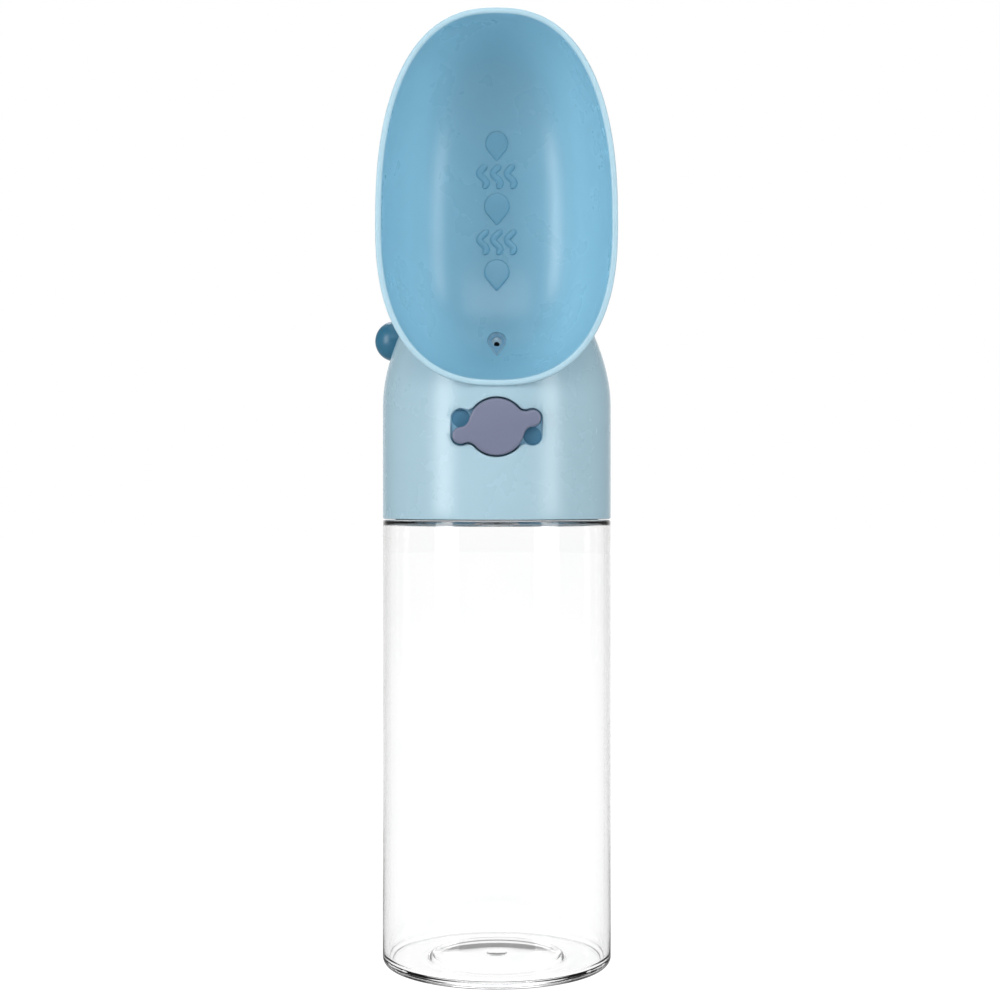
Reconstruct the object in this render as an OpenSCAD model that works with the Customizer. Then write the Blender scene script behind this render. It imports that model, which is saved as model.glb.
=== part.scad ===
// Dog travel water bottle: a clear bottle with a screw-on drinking head. The head is one moulding, a
// short neck that flows into a deep scoop. A press button on its side lets water into the scoop, and
// a quarter-turn knob on its front shuts the water off ahead of that button.
// Millimetres. The origin is the centre of the bottle's base, +Z is up and the scoop faces -Y.

/* [Bottle] */
// Outer diameter of the bottle and of the head's skirt
bottle_d = 66; // [60:0.5:74]
// Height of the bottle's shoulder above its base
shoulder_h = 128.3; // [100:0.1:160]
// Wall of the bottle
bottle_wall = 1.7; // [1.2:0.1:2.4]
// Outer corner radius between the bottle's side and its base
base_corner_r = 2.2; // [1.4:0.1:4]
// Outer edge radius of the bottle's shoulder
shoulder_edge_r = 0.6; // [0.3:0.1:1.2]
// Radius of the raised panel in the middle of the base
panel_r = 18.6; // [12:0.2:22]
// Height of that panel above the ring the bottle stands on
panel_rise = 1.4; // [0.8:0.1:2]
// Height of the bottle's neck above its shoulder
neck_h = 10.3; // [9:0.1:14]
// Wall of the bottle's neck
neck_wall = 1.6; // [1.2:0.1:2]
// Radial room for the thread between the bottle's neck and the head's skirt
thread_room = 1.6; // [1.2:0.1:2.2]

/* [Head] */
// Wall of the head's neck
head_wall = 2.2; // [1.6:0.1:2.8]
// Gap between the bottle's shoulder and the lower edge of the head
seam_gap = 0.3; // [0.2:0.05:0.6]
// Thickness of the sealing washer between the bottle and the head
washer_t = 2; // [1.4:0.1:3]
// Thickness of the deck that closes the head below
deck_t = 2.5; // [1.8:0.1:3.5]
// Width of the ledge in the head that the deck seats against
ledge_w = 2; // [1.2:0.1:3]
// Height of that ledge
ledge_h = 2.9; // [2:0.1:4]
// Height over which the head's round neck flows into the back of the scoop
blend_h = 67; // [60:1:72]
// Width of the neck where it ends in the back of the scoop
blend_w = 22; // [16:1:28]
// Drop of the neck's straight part below the scoop's lower lip
lip_drop = 4.2; // [3:0.1:6]

/* [Scoop] */
// Amount by which the scoop is wider across its rim than the bottle
scoop_extra = 0.2; // [0:0.1:4]
// Height of the scoop's rim above its widest point
scoop_up = 59; // [52:0.5:66]
// Height of the scoop's rim below its widest point
scoop_down = 44; // [40:0.5:48]
// Depth of the bowl behind the rim
bowl_depth = 36; // [32:0.5:38]
// Wall of the scoop at its rim
rim_wall = 1.6; // [1.2:0.1:2.2]
// Wall of the scoop's floor
floor_wall = 2.2; // [1.6:0.1:3]
// Roundness of the rim's outline, where 2 is an ellipse
rim_power = 2.43; // [2.2:0.01:2.8]
// Roundness of the bowl from rim to floor, where 2 is an ellipse
bowl_power = 2.6; // [2.3:0.1:3]
// Distance that the rim stands in front of the neck
rim_proud = 1; // [0.5:0.1:2]

/* [Lock] */
// Radius of the lock knob
knob_r = 7.8; // [6.5:0.1:9]
// Thickness of the lock knob
knob_t = 3.3; // [2.4:0.1:4]
// Radius of the knob's two ears
ear_r = 2.3; // [1.9:0.1:2.6]
// Distance of each ear's centre from the knob's axis
ear_reach = 10.1; // [9.4:0.1:11]
// Radius of the concave fillets between the knob and its ears
ear_fillet = 2.6; // [2.6:0.1:3.2]
// Angle that the knob turns between its two places
lock_angle = 27; // [26:0.5:32]
// Depth of the recess that the knob turns in
recess_depth = 3.2; // [2.8:0.1:3.6]
// Gap round the knob in its recess
knob_gap = 0.45; // [0.3:0.05:0.6]
// Radius of the shut-off barrel that the knob turns
rotor_r = 9.2; // [8.8:0.1:10]
// Radius of the water port through that barrel
port_r = 1.95; // [1.5:0.05:2]
// Length of that barrel
rotor_len = 16.8; // [14:0.2:18]

/* [Button] */
// Radius of the press button and of its dome
button_r = 5.9; // [5:0.1:6.4]
// Distance that the button's straight side stands out of the neck
button_proud = 2; // [1:0.1:3]
// Travel of the button
press_travel = 4; // [3:0.1:4.5]
// Height of the button's axis above the scoop's lower lip
button_rise = 15.4; // [14.5:0.1:17]
// Radius of the piston on the valve stem
piston_r = 2.55; // [2.2:0.05:3]
// Radius of the thin end of the valve stem
stem_r = 1.4; // [1:0.1:1.6]
// Radius of the chamber that holds the spring
chamber_r = 5; // [4.8:0.1:5.6]
// Radius of the spring's wire
wire_r = 0.4; // [0.25:0.05:0.5]
// Number of turns in the return spring
spring_turns = 5; // [4:1:6]

/* [Outlet] */
// Radius of the round part of the drop-shaped outlet in the scoop
outlet_r = 2.7; // [2.2:0.1:3.2]
// Distance from the middle of that round part to the outlet's lower tip
outlet_tip = 4.6; // [3.8:0.1:5.2]
// Distance of the outlet's round part below the button's axis
outlet_drop = 0.8; // [0:0.1:1.2]
// Distance of the valve's spout behind the bowl's surface
outlet_set_back = 0.9; // [0.4:0.1:1.2]
// Radius of the water way from the button's valve to the outlet
nozzle_r = 1.5; // [1.2:0.1:1.8]

/* [Fasteners and seals] */
// Radius of the screws that hold the deck
screw_r = 1.2; // [1:0.1:1.5]
// Radius of the screw heads
screw_head_r = 2.3; // [2:0.1:2.6]
// Height of the screw heads
screw_head_h = 1.5; // [1.2:0.1:2]
// Length of the screws below their heads
screw_len = 10; // [8:0.5:12]
// Distance between the heads of the deck's screws and the inside of the bottle's neck
screw_room = 1.3; // [0.9:0.1:2.3]
// Radius of the cord of the sealing rings
ring_cord_r = 0.6; // [0.5:0.05:0.8]
// Radius of the inlet strainer
strainer_r = 6; // [5:0.2:8]
// Height of the inlet strainer below the deck
strainer_h = 8; // [6:0.5:10]
// Number of slots round the inlet strainer
strainer_slots = 8; // [6:1:10]

/* [Hidden] */
$fn = 96;

// Running clearance of a shaft in its bore, and the small gap between pieces that meet
run_gap = 0.05;
seat_gap = 0.15;
// Extra length that makes a cut pass clear of a face
past = 1;

// Bottle
bottle_r = bottle_d / 2;
inner_r = bottle_r - bottle_wall;
neck_r = bottle_r - head_wall - thread_room;
neck_bore_r = neck_r - neck_wall;
neck_top = shoulder_h + neck_h;
nub_r = 3;
nub_drop = 0.4;

// Heights up the head, each piece stacked on the one below
seam_z = shoulder_h + seam_gap;
skirt_bore_r = bottle_r - head_wall;
deck_z = neck_top + washer_t;
deck_top = deck_z + deck_t;
housing_wall = 1.65;
housing_r = rotor_r + run_gap + housing_wall;
lock_z = deck_top + housing_r;
lip_gap = 0.3;
lip_z = lock_z + housing_r + lip_gap;
blend_z = lip_z - lip_drop;
scoop_z = lip_z + scoop_down;
scoop_w = bottle_d + scoop_extra;
rim_y = -(bottle_r + rim_proud);
floor_y = rim_y + bowl_depth + floor_wall;
rim_round = 0.5;
rim_mid = rim_round * (1 - cos(45));

// Points round each ring of the lofts, rings from the rim to the bowl's flat floor, and the angle
// along the bowl's section where that floor starts
loft_sides = 48;
bowl_steps = 9;
cap_angle = 84;
// Depth that the neck's end is sunk below the scoop's outer back, share of the blend's height that is
// hollow inside, and the small step in from the round neck to the blend, so that their faces part
neck_sink = 1.2;
hollow_share = 0.78;
blend_step = 0.05;

// Lock, along its own axis from the front of the head to the back of the barrel
recess_y = -(bottle_r - recess_depth);
knob_y = recess_y - knob_gap;
pad_t = 2.4;
pad_y = recess_y + pad_t;
lock_gasket_t = 1.5;
housing_y = pad_y + lock_gasket_t;
front_wall = 1.9;
barrel_y = housing_y + front_wall;
end_gap = 0.1;
cover_t = 2;
cover_y = barrel_y + end_gap + rotor_len + end_gap;
shaft_r = 3.2;
drive_w = 3.6;
drive_len = 4;
clip_t = 0.8;
clip_y = cover_y + cover_t + end_gap;
port_y = barrel_y + end_gap + rotor_len / 2;
ring_inset = 1.8;
clip_w = 1.6;
pad_margin = 2;
gasket_margin = 0.6;
inlet_room = 0.25;
inlet_r = port_r + inlet_room;

// Button and its valve, along X
valve_wall = 1.5;
valve_r = chamber_r + valve_wall;
stem_z = lip_z + button_rise;
outlet_z = stem_z - outlet_drop;
scoop_gap = 1;
stem_y = scoop_back(stem_z + valve_r * sin(45)) + valve_r * sin(45) + scoop_gap;
guide_r = button_r + run_gap;
guide_wall = 1.45;
flange_w = 1;
flange_t = 1.4;
wall_x = neck_x(stem_y, stem_z, 0);
dome_x = wall_x - button_proud;
flange_reach = (button_r + flange_w) * sin(45);
flange_x = neck_x(stem_y + flange_reach, stem_z + flange_reach, head_wall) + 2 * seat_gap;
button_x = flange_x + flange_t;
press_spare = 0.3;
body_x = button_x + press_travel + press_spare;
button_ring_in = 2.2;
button_ring_x = flange_x - button_ring_in;
seat_land = 2.5;
seat_x = nozzle_r + seat_land;
seal_t = 2;
seal_r = 4.2;
stem_head_r = 2.8;
stem_head_t = 1.2;
spring_x = seat_x + seal_t + stem_head_t;
cap_plug = 3;
cap_flange = 1.5;
cap_gap = 1.1;
cap_reach = valve_r * sin(45);
cap_end = -neck_x(stem_y + cap_reach, stem_z + cap_reach, head_wall) - cap_gap;
cap_x = cap_end - cap_flange - cap_plug;
spring_len = cap_x - spring_x;
spring_room = 0.6;
spring_r = chamber_r - wire_r - spring_room;
piston_lap = 0.6;
piston_end = -nozzle_r - press_travel - piston_lap;
gallery_r = 2;
gallery_wall = 1.7;
gallery_start = [0, port_y, lock_z + rotor_r];
gallery_end = [(spring_x + cap_x) / 2, stem_y, stem_z - chamber_r + gallery_r / 2];

// Deck
deck_gap = 0.4;
screw_reach = neck_bore_r - screw_head_r - screw_room;
screw_places = [for (a = [45, 135, 225, 315]) screw_reach * [cos(a), sin(a)]];
boss_wall = 1.8;
boss_end = 2;
boss_h = screw_len - deck_t + boss_end;
spigot_r = inlet_r + 1;
vent_y = 14;
vent_r = 2.4;
vent_flange_r = 3.9;
vent_flange_t = 1;
bill_h = 6;
bill_t = 1;
bill_end = 0.5;

// Half width of the head's neck, and the distance of its back from the axis, at a height
function blend(z) = (1 + cos(180 * (z - blend_z) / blend_h)) / 2;
function neck_half(z) = blend_w / 2 + (bottle_r - blend_w / 2) * blend(z);
function neck_back(z) = neck_end_y() + (bottle_r - neck_end_y()) * blend(z);
function neck_end_y() = floor_y - neck_sink;

// Place along X of the neck's left wall, drawn in by an amount
function neck_x(y, z, inset) = (inset - neck_half(z)) * sqrt(1 - pow(y / (neck_back(z) - inset), 2));

// Place of the scoop's outer back on the middle plane, at a height below its widest point
function scoop_back(z) = rim_y + (floor_y - rim_y)
    * pow(1 - pow((scoop_z - z) / scoop_down, bowl_power), 1 / bowl_power);

// Signed power, which rounds a circle into a superellipse
function spow(v, p) = sign(v) * pow(abs(v), p);

// One ring of the scoop at a depth behind the rim, with its size as a share of the rim's,
// grown all round by an amount
function rim_ring(share, depth, grow) = [for (i = [0 : loft_sides - 1])
    let (a = -360 * (i + 0.5) / loft_sides, sz = sin(a) > 0 ? scoop_up : scoop_down)
    [(scoop_w / 2 + grow) * share * spow(cos(a), 2 / rim_power),
     rim_y + depth,
     scoop_z + (sz + grow) * share * spow(sin(a), 2 / rim_power)]];

// Rings of the whole bowl, from its rim back to its floor
function bowl_rings(depth, grow) = [for (i = [1 : bowl_steps])
    let (a = cap_angle * i / bowl_steps)
    rim_ring(pow(cos(a), 2 / bowl_power), depth * pow(sin(a), 2 / bowl_power), grow)];

// One ring of the head's neck at a height, drawn in by an amount
function neck_ring(z, inset) = [for (i = [0 : loft_sides - 1])
    let (a = 360 * i / loft_sides, w = neck_half(z) - inset)
    [w * cos(a), (sin(a) > 0 ? neck_back(z) - inset : w) * sin(a), z]];

// Points of an arc about a centre
function arc(c, r, from, to, steps) = [for (i = [0 : steps])
    let (a = from + (to - from) * i / steps) c + r * [cos(a), sin(a)]];

// Mean of a list of points
function mean(points) = [for (p = points) 1] * points / len(points);

// Closed solid through rings of equally many points, with flat ends that fan out from their middles
module loft(rings) {
    n = len(rings[0]);
    last = len(rings) - 1;
    hub = len(rings) * n;
    sides = [for (i = [0 : last - 1], j = [0 : n - 1])
        let (a = i * n + j, b = i * n + (j + 1) % n)
        each [[a, b + n, b], [a, a + n, b + n]]];
    ends = [for (j = [0 : n - 1])
        let (next = (j + 1) % n)
        each [[hub, j, next], [hub + 1, last * n + next, last * n + j]]];
    polyhedron(points = [for (ring = rings) each ring, mean(rings[0]), mean(rings[last])],
        faces = concat(sides, ends));
}

// Cylinder between two points
module rod(from, to, r) {
    d = to - from;
    translate(from)
        rotate([0, acos(d[2] / norm(d)), atan2(d[1], d[0])])
            cylinder(r = r, h = norm(d));
}

// Cylinder along X on the button's axis, between two places
module x_rod(from, to, r) {
    translate([from, stem_y, stem_z])
        rotate([0, 90, 0])
            cylinder(r = r, h = to - from);
}

// Cylinder along Y on the lock's axis, between two places
module y_rod(from, to, r) {
    translate([0, from, lock_z])
        rotate([-90, 0, 0])
            cylinder(r = r, h = to - from);
}

// Flat outline in the lock's own plane, made solid between two places along Y
module y_plate(from, to) {
    translate([0, to, lock_z])
        rotate([90, 0, 0])
            linear_extrude(to - from)
                children();
}

// Sealing ring about Z, of a given outer radius
module seal_ring(outer) {
    rotate_extrude()
        translate([outer - ring_cord_r, 0])
            circle(r = ring_cord_r);
}

// Solid of the scoop's outside, grown all round by an amount
module scoop_outside(grow = 0) {
    deep = bowl_depth + floor_wall + grow;
    loft(concat([rim_ring(1, 0, grow - rim_round)],
        [rim_ring(1, rim_mid, grow - rim_mid)],
        [rim_ring(1, rim_round, grow)], bowl_rings(deep, grow)));
}

// Solid of the bowl's hollow, open past the rim and grown all round by an amount
module bowl_hollow(grow = 0) {
    inset = grow - rim_wall;
    loft(concat([rim_ring(1, -past, inset + rim_round)], [rim_ring(1, 0, inset + rim_round)],
        [rim_ring(1, rim_mid, inset + rim_mid)],
        [rim_ring(1, rim_round, inset)], bowl_rings(bowl_depth + grow, inset)));
}

// Solid of the head's neck, drawn in by an amount, from its lower edge to a height
module neck_solid(inset, low, high) {
    steps = 10;
    start = blend_z - past;
    translate([0, 0, low])
        cylinder(r = bottle_r - inset, h = blend_z - low);
    loft([for (i = [0 : steps]) neck_ring(start + (high - start) * i / steps,
        inset + blend_step)]);
}

// Outline of a disc with two ears, joined by concave fillets and shrunk by an amount: half of it,
// from the lower fillet of one ear round to where the next half starts
function eared_half(shrink) =
    let (r = knob_r - shrink, e = ear_r - shrink, f = ear_fillet + shrink, d = ear_reach,
        turn = acos((pow(r + f, 2) + d * d - pow(e + f, 2)) / (2 * (r + f) * d)),
        bend = acos((pow(e + f, 2) + d * d - pow(r + f, 2)) / (2 * (e + f) * d)),
        centre = (r + f) * [cos(turn), sin(turn)], ear_skip = 12, disc_skip = 5)
    concat(arc([centre[0], -centre[1]], f, 180 - turn, bend, 4),
        arc([d, 0], e, bend + ear_skip - 180, 180 - ear_skip - bend, 12),
        arc(centre, f, -bend, turn - 180, 4),
        arc([0, 0], r, turn + disc_skip, 180 - disc_skip - turn, 16));

function eared_outline(shrink) =
    let (half = eared_half(shrink))
    concat(half, -half);

// One ring of the knob's rounded edge, turned to its place, at a distance along its axis
function knob_ring(y, shrink) = [for (p = eared_outline(shrink))
    let (c = cos(lock_angle / 2), s = sin(lock_angle / 2))
    [p[0] * c - p[1] * s, y, lock_z + p[0] * s + p[1] * c]];

// The four places of the ears' ends, seen from the front
module at_lobes() {
    for (side = [0, 180], swing = [-1, 1])
        rotate(side + swing * lock_angle / 2)
            translate([ear_reach, 0])
                children();
}

// Outline of the recess, which holds the knob in both of its places
module recess_outline() {
    for (swing = [-1, 1])
        rotate(swing * lock_angle / 2)
            polygon(eared_outline(-knob_gap));
    square([2 * ear_reach * cos(lock_angle / 2), 2 * ear_reach * sin(lock_angle / 2)], center = true);
    for (side = [-1, 1])
        translate([side * ear_reach * cos(lock_angle / 2), 0])
            square([2 * (ear_r + knob_gap), 2 * ear_reach * sin(lock_angle / 2)], center = true);
}

// Outline of the thick pad behind the recess, and of the gasket on it, by their margin round the lobes
module pad_outline(margin) {
    circle(r = knob_r + margin);
    w = 2 * (ear_reach + ear_r);
    h = 2 * (ear_reach * sin(lock_angle / 2) + ear_r + margin);
    square([w, h], center = true);
    for (side = [-1, 1])
        translate([side * w / 2, 0])
            intersection() {
                square([2 * margin, h], center = true);
                circle(r = h / 2);
            }
}

// Drop-shaped outline of the outlet, grown by an amount
module drop_outline(grow) {
    r = outlet_r + grow;
    tip = outlet_tip + grow * outlet_tip / outlet_r;
    a = acos(r / tip);
    circle(r = r);
    polygon([r * [cos(a - 90), sin(a - 90)], [0, -tip], r * [-cos(a - 90), sin(a - 90)], [0, 0]]);
}

// The outlet's outline made solid through the scoop's wall
module outlet_prism(grow) {
    translate([0, stem_y, outlet_z])
        rotate([90, 0, 0])
            linear_extrude(stem_y - rim_y - bowl_depth / 2)
                drop_outline(grow);
}

module bottle() {
    step_r = panel_r + panel_rise;
    neck_edge = 0.5;
    floor_z = panel_rise + bottle_wall;
    ring_extra = 0.3;
    low_floor = bottle_wall + ring_extra;
    in_corner = base_corner_r - ring_extra;
    top_corner = 2;
    color("gainsboro", 0.35)
        rotate_extrude()
            polygon(concat(
                [[0, panel_rise - nub_drop], [nub_r, panel_rise - nub_drop], [nub_r, panel_rise]],
                [[panel_r, panel_rise], [step_r, 0]],
                arc([bottle_r - base_corner_r, base_corner_r], base_corner_r, -90, 0, 6),
                arc([bottle_r - shoulder_edge_r, shoulder_h - shoulder_edge_r],
                    shoulder_edge_r, 0, 90, 4),
                [[neck_r, shoulder_h], [neck_r, neck_top - neck_edge]],
                [[neck_r - neck_edge, neck_top], [neck_bore_r, neck_top]],
                [[neck_bore_r, shoulder_h - bottle_wall]],
                arc([inner_r - top_corner, shoulder_h - bottle_wall - top_corner],
                    top_corner, 90, 0, 5),
                arc([inner_r - in_corner, low_floor + in_corner], in_corner, 0, -90, 5),
                [[step_r, low_floor], [panel_r, floor_z], [0, floor_z]]));
}

module neck_washer() {
    color("whitesmoke")
        translate([0, 0, neck_top])
            difference() {
                cylinder(r = neck_r, h = washer_t);
                translate([0, 0, -past])
                    cylinder(r = neck_bore_r, h = washer_t + 2 * past);
            }
}

// Posts inside the head that take the deck's screws, each with a web to the wall
module screw_posts() {
    post_r = screw_r + boss_wall;
    for (p = screw_places)
        translate([p[0], p[1], deck_top])
            rotate(atan2(p[1], p[0])) {
                cylinder(r = post_r, h = boss_h);
                translate([0, -boss_wall / 2, 0])
                    cube([bottle_r - screw_reach - head_wall / 2, boss_wall, boss_h]);
            }
}

module head_shell() {
    color("lightskyblue")
        difference() {
            union() {
                difference() {
                    union() {
                        neck_solid(0, seam_z, blend_z + blend_h);
                        scoop_outside();
                    }
                    difference() {
                        neck_solid(head_wall, seam_z - past, blend_z + blend_h * hollow_share);
                        scoop_outside();
                    }
                }
                translate([0, 0, deck_top])
                    difference() {
                        cylinder(r = bottle_r - head_wall / 2, h = ledge_h);
                        translate([0, 0, -past])
                            cylinder(r = skirt_bore_r - ledge_w, h = ledge_h + 2 * past);
                    }
                screw_posts();
                intersection() {
                    y_plate(-bottle_r, pad_y)
                        pad_outline(pad_margin);
                    cylinder(r = bottle_r - head_wall / 2, h = scoop_z);
                }
                intersection() {
                    x_rod(wall_x - past, flange_x, guide_r + guide_wall);
                    neck_solid(head_wall / 2, lock_z, blend_z + blend_h / 2);
                }
            }
            bowl_hollow();
            y_plate(rim_y - past, recess_y)
                recess_outline();
            y_plate(recess_y - past, pad_y + past)
                at_lobes()
                    circle(r = ear_r);
            y_rod(recess_y - past, pad_y + past, shaft_r + run_gap);
            x_rod(wall_x - 3 * past, flange_x + past, guide_r);
            outlet_prism(0);
            for (p = screw_places)
                translate([p[0], p[1], deck_top - past])
                    cylinder(r = screw_r + run_gap, h = past + screw_len - deck_t + end_gap);
        }
}

module valve_deck() {
    color("steelblue")
        translate([0, 0, deck_z])
            difference() {
                cylinder(r = skirt_bore_r - deck_gap, h = deck_t);
                for (p = screw_places)
                    translate([p[0], p[1], -past])
                        cylinder(r = screw_r + run_gap, h = deck_t + 2 * past);
                translate([0, port_y, -past])
                    cylinder(r = spigot_r + run_gap, h = deck_t + 2 * past);
                translate([0, vent_y, -past])
                    cylinder(r = vent_r + run_gap, h = deck_t + 2 * past);
            }
}

module deck_screws() {
    socket_r = 0.9;
    socket_h = 0.9;
    color("silver")
        for (p = screw_places)
            translate([p[0], p[1], deck_z])
                difference() {
                    union() {
                        cylinder(r = screw_r, h = screw_len);
                        translate([0, 0, -screw_head_h])
                            cylinder(r = screw_head_r, h = screw_head_h);
                    }
                    translate([0, 0, -screw_head_h - past])
                        cylinder(r = socket_r, h = socket_h + past, $fn = 6);
                }
}

// Slotted cup that keeps grit out of the valve, hung from the deck by a hollow spigot
module inlet_strainer() {
    wall = 1;
    slot_w = 1.4;
    flange_w = 1.5;
    flange_t = 1.2;
    color("white")
        translate([0, port_y, deck_z])
            difference() {
                union() {
                    translate([0, 0, -strainer_h])
                        cylinder(r = strainer_r, h = strainer_h);
                    translate([0, 0, -flange_t])
                        cylinder(r = strainer_r + flange_w, h = flange_t);
                    cylinder(r = spigot_r, h = deck_t);
                }
                translate([0, 0, wall - strainer_h])
                    cylinder(r = strainer_r - wall, h = strainer_h - wall - flange_t);
                translate([0, 0, -flange_t - past])
                    cylinder(r = inlet_r, h = deck_t + flange_t + 2 * past);
                for (i = [0 : strainer_slots - 1])
                    rotate(360 * i / strainer_slots)
                        translate([strainer_r - wall - past, -slot_w / 2, 2 * wall - strainer_h])
                            cube([wall + 2 * past, slot_w, strainer_h - 2 * wall - 2 * flange_t]);
            }
}

// Duckbill valve that lets air back into the bottle through the deck
module vent_valve() {
    throat_r = 1.3;
    color("white")
        translate([0, vent_y, deck_z])
            difference() {
                union() {
                    cylinder(r = vent_r, h = deck_t);
                    translate([0, 0, deck_t])
                        cylinder(r = vent_flange_r, h = vent_flange_t);
                    translate([0, 0, -vent_flange_t])
                        cylinder(r = vent_flange_r, h = vent_flange_t);
                    hull() {
                        translate([0, 0, -vent_flange_t])
                            cylinder(r = vent_r, h = vent_flange_t / 2, $fn = 24);
                        translate([-vent_r, -bill_t / 2, -bill_h])
                            cube([2 * vent_r, bill_t, bill_end]);
                    }
                }
                translate([0, 0, -vent_flange_t])
                    cylinder(r = throat_r, h = deck_t + 2 * vent_flange_t + past);
            }
}

// Housing of both valves: the barrel valve along Y below, the button's valve along X above, a
// slanting gallery between them, and a spout that fills the scoop's drop-shaped outlet
module valve_body() {
    foot_w = 15;
    foot_h = 4;
    foot_in = 2;
    color("steelblue")
        difference() {
            union() {
                difference() {
                    union() {
                        y_rod(housing_y, cover_y + cover_t, housing_r);
                        translate([-foot_w / 2, housing_y + foot_in, deck_top])
                            cube([foot_w, rotor_len, foot_h]);
                        rod(gallery_start, gallery_end, gallery_r + gallery_wall);
                        x_rod(body_x, cap_end - cap_flange, valve_r);
                        translate([0, stem_y, outlet_z])
                            rotate([90, 0, 0])
                                cylinder(r = valve_r - run_gap, h = stem_y - rim_y - bowl_depth / 2);
                    }
                    scoop_outside(seat_gap);
                }
                difference() {
                    outlet_prism(-run_gap);
                    bowl_hollow(outlet_set_back);
                }
            }
            y_rod(barrel_y, cover_y + cover_t + past, rotor_r + run_gap);
            y_rod(housing_y - past, barrel_y + past, shaft_r + run_gap);
            translate([0, port_y, deck_top - past])
                cylinder(r = inlet_r, h = housing_wall + housing_r / 2);
            rod(gallery_start - [0, 0, housing_wall], gallery_end, gallery_r);
            x_rod(body_x - past, seat_x + past, piston_r + run_gap);
            x_rod(seat_x, cap_x + cap_plug + past, chamber_r);
            translate([0, stem_y, outlet_z])
                rotate([90, 0, 0])
                    cylinder(r = nozzle_r, h = stem_y - rim_y);
        }
}

// Soft gasket behind the recess, whose four studs fill the holes in the recess floor
module lock_gasket() {
    stud_gap = 0.1;
    stud_drop = 0.2;
    color("darkcyan")
        difference() {
            union() {
                y_plate(pad_y, housing_y)
                    pad_outline(gasket_margin);
                y_plate(recess_y + stud_drop, pad_y + lock_gasket_t / 2)
                    at_lobes()
                        circle(r = ear_r - stud_gap);
            }
            y_rod(recess_y, housing_y + past, shaft_r + run_gap);
        }
}

// Barrel turned by the knob. Its port stands upright when the knob's ears lie the other way
module shutoff_rotor() {
    start = barrel_y + end_gap;
    end = start + rotor_len;
    groove_w = 3 * ring_cord_r;
    hook_r = shaft_r - clip_groove_depth();
    color("ghostwhite")
        difference() {
            union() {
                y_rod(start, end, rotor_r);
                y_rod(knob_y, clip_y + 2 * clip_t, shaft_r);
            }
            for (y = [start + ring_inset, end - ring_inset])
                translate([0, y, lock_z])
                    rotate([90, 0, 0])
                        difference() {
                            cylinder(r = rotor_r + past, h = groove_w, center = true);
                            cylinder(r = rotor_r - 2 * ring_cord_r + run_gap, h = groove_w,
                                center = true);
                        }
            translate([0, port_y, lock_z])
                rotate([0, -lock_angle, 0])
                    cylinder(r = port_r, h = 4 * rotor_r, center = true);
            translate([-drive_w / 2, knob_y - past, lock_z - drive_w / 2])
                cube([drive_w, drive_len + past, drive_w]);
            difference() {
                y_rod(clip_y, clip_y + clip_t, shaft_r + past);
                y_rod(clip_y, clip_y + clip_t, hook_r);
            }
        }
}

function clip_groove_depth() = 0.7;

// Sealing rings in the barrel's two grooves
module rotor_ring(y) {
    color("dimgray")
        translate([0, y, lock_z])
            rotate([90, 0, 0])
                seal_ring(rotor_r + run_gap);
}

module rotor_front_ring() {
    rotor_ring(barrel_y + end_gap + ring_inset);
}

module rotor_rear_ring() {
    rotor_ring(barrel_y + end_gap + rotor_len - ring_inset);
}

module rotor_cover() {
    color("teal")
        difference() {
            y_rod(cover_y, cover_y + cover_t, rotor_r + run_gap);
            y_rod(cover_y - past, cover_y + cover_t + past, shaft_r + run_gap);
        }
}

// Spring clip on the barrel's rear end
module rotor_clip() {
    clip_r = shaft_r + clip_w;
    mouth_share = 1.6;
    mouth = mouth_share * (shaft_r - clip_groove_depth());
    color("silver")
        difference() {
            y_rod(clip_y, clip_y + clip_t, clip_r);
            y_rod(clip_y - past, clip_y + clip_t + past, shaft_r - clip_groove_depth());
            translate([-mouth / 2, clip_y - past, lock_z - clip_r - past])
                cube([mouth, clip_t + 2 * past, clip_r + past]);
        }
}

// Knob with two ears and a rounded front edge, and the square drive behind it
module lock_knob() {
    edge = 0.7;
    steps = 3;
    front = knob_y - knob_t;
    color("slategray") {
        y_plate(front + edge, knob_y)
            rotate(lock_angle / 2)
                polygon(eared_outline(0));
        loft(concat([knob_ring(front + 2 * edge, blend_step)],
            [for (i = [0 : steps])
                let (a = 90 * i / steps)
                knob_ring(front + edge * (1 - sin(a)), edge * (1 - cos(a)) + blend_step)]));
        translate([-drive_w / 2 + run_gap, knob_y - past, lock_z - drive_w / 2 + run_gap])
            cube([drive_w - 2 * run_gap, drive_len - end_gap + past, drive_w - 2 * run_gap]);
    }
}

// Domed press button with a straight side and a flange that stops it from coming out
module release_button() {
    color("darkcyan")
        difference() {
            union() {
                intersection() {
                    translate([dome_x, stem_y, stem_z])
                        sphere(r = button_r);
                    x_rod(dome_x - 2 * button_r, dome_x + past, button_r + past);
                }
                x_rod(dome_x, flange_x + past, button_r);
                x_rod(flange_x, button_x, button_r + flange_w);
            }
            difference() {
                x_rod(button_ring_x - ring_cord_r - end_gap, button_ring_x + ring_cord_r + end_gap,
                    button_r + past);
                x_rod(button_ring_x - past, button_ring_x + past,
                    button_r - 2 * ring_cord_r + run_gap);
            }
            x_rod(button_x - flange_t, button_x + past, piston_r + run_gap);
        }
}

module button_ring() {
    color("dimgray")
        translate([button_ring_x, stem_y, stem_z])
            rotate([0, 90, 0])
                seal_ring(guide_r);
}

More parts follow.
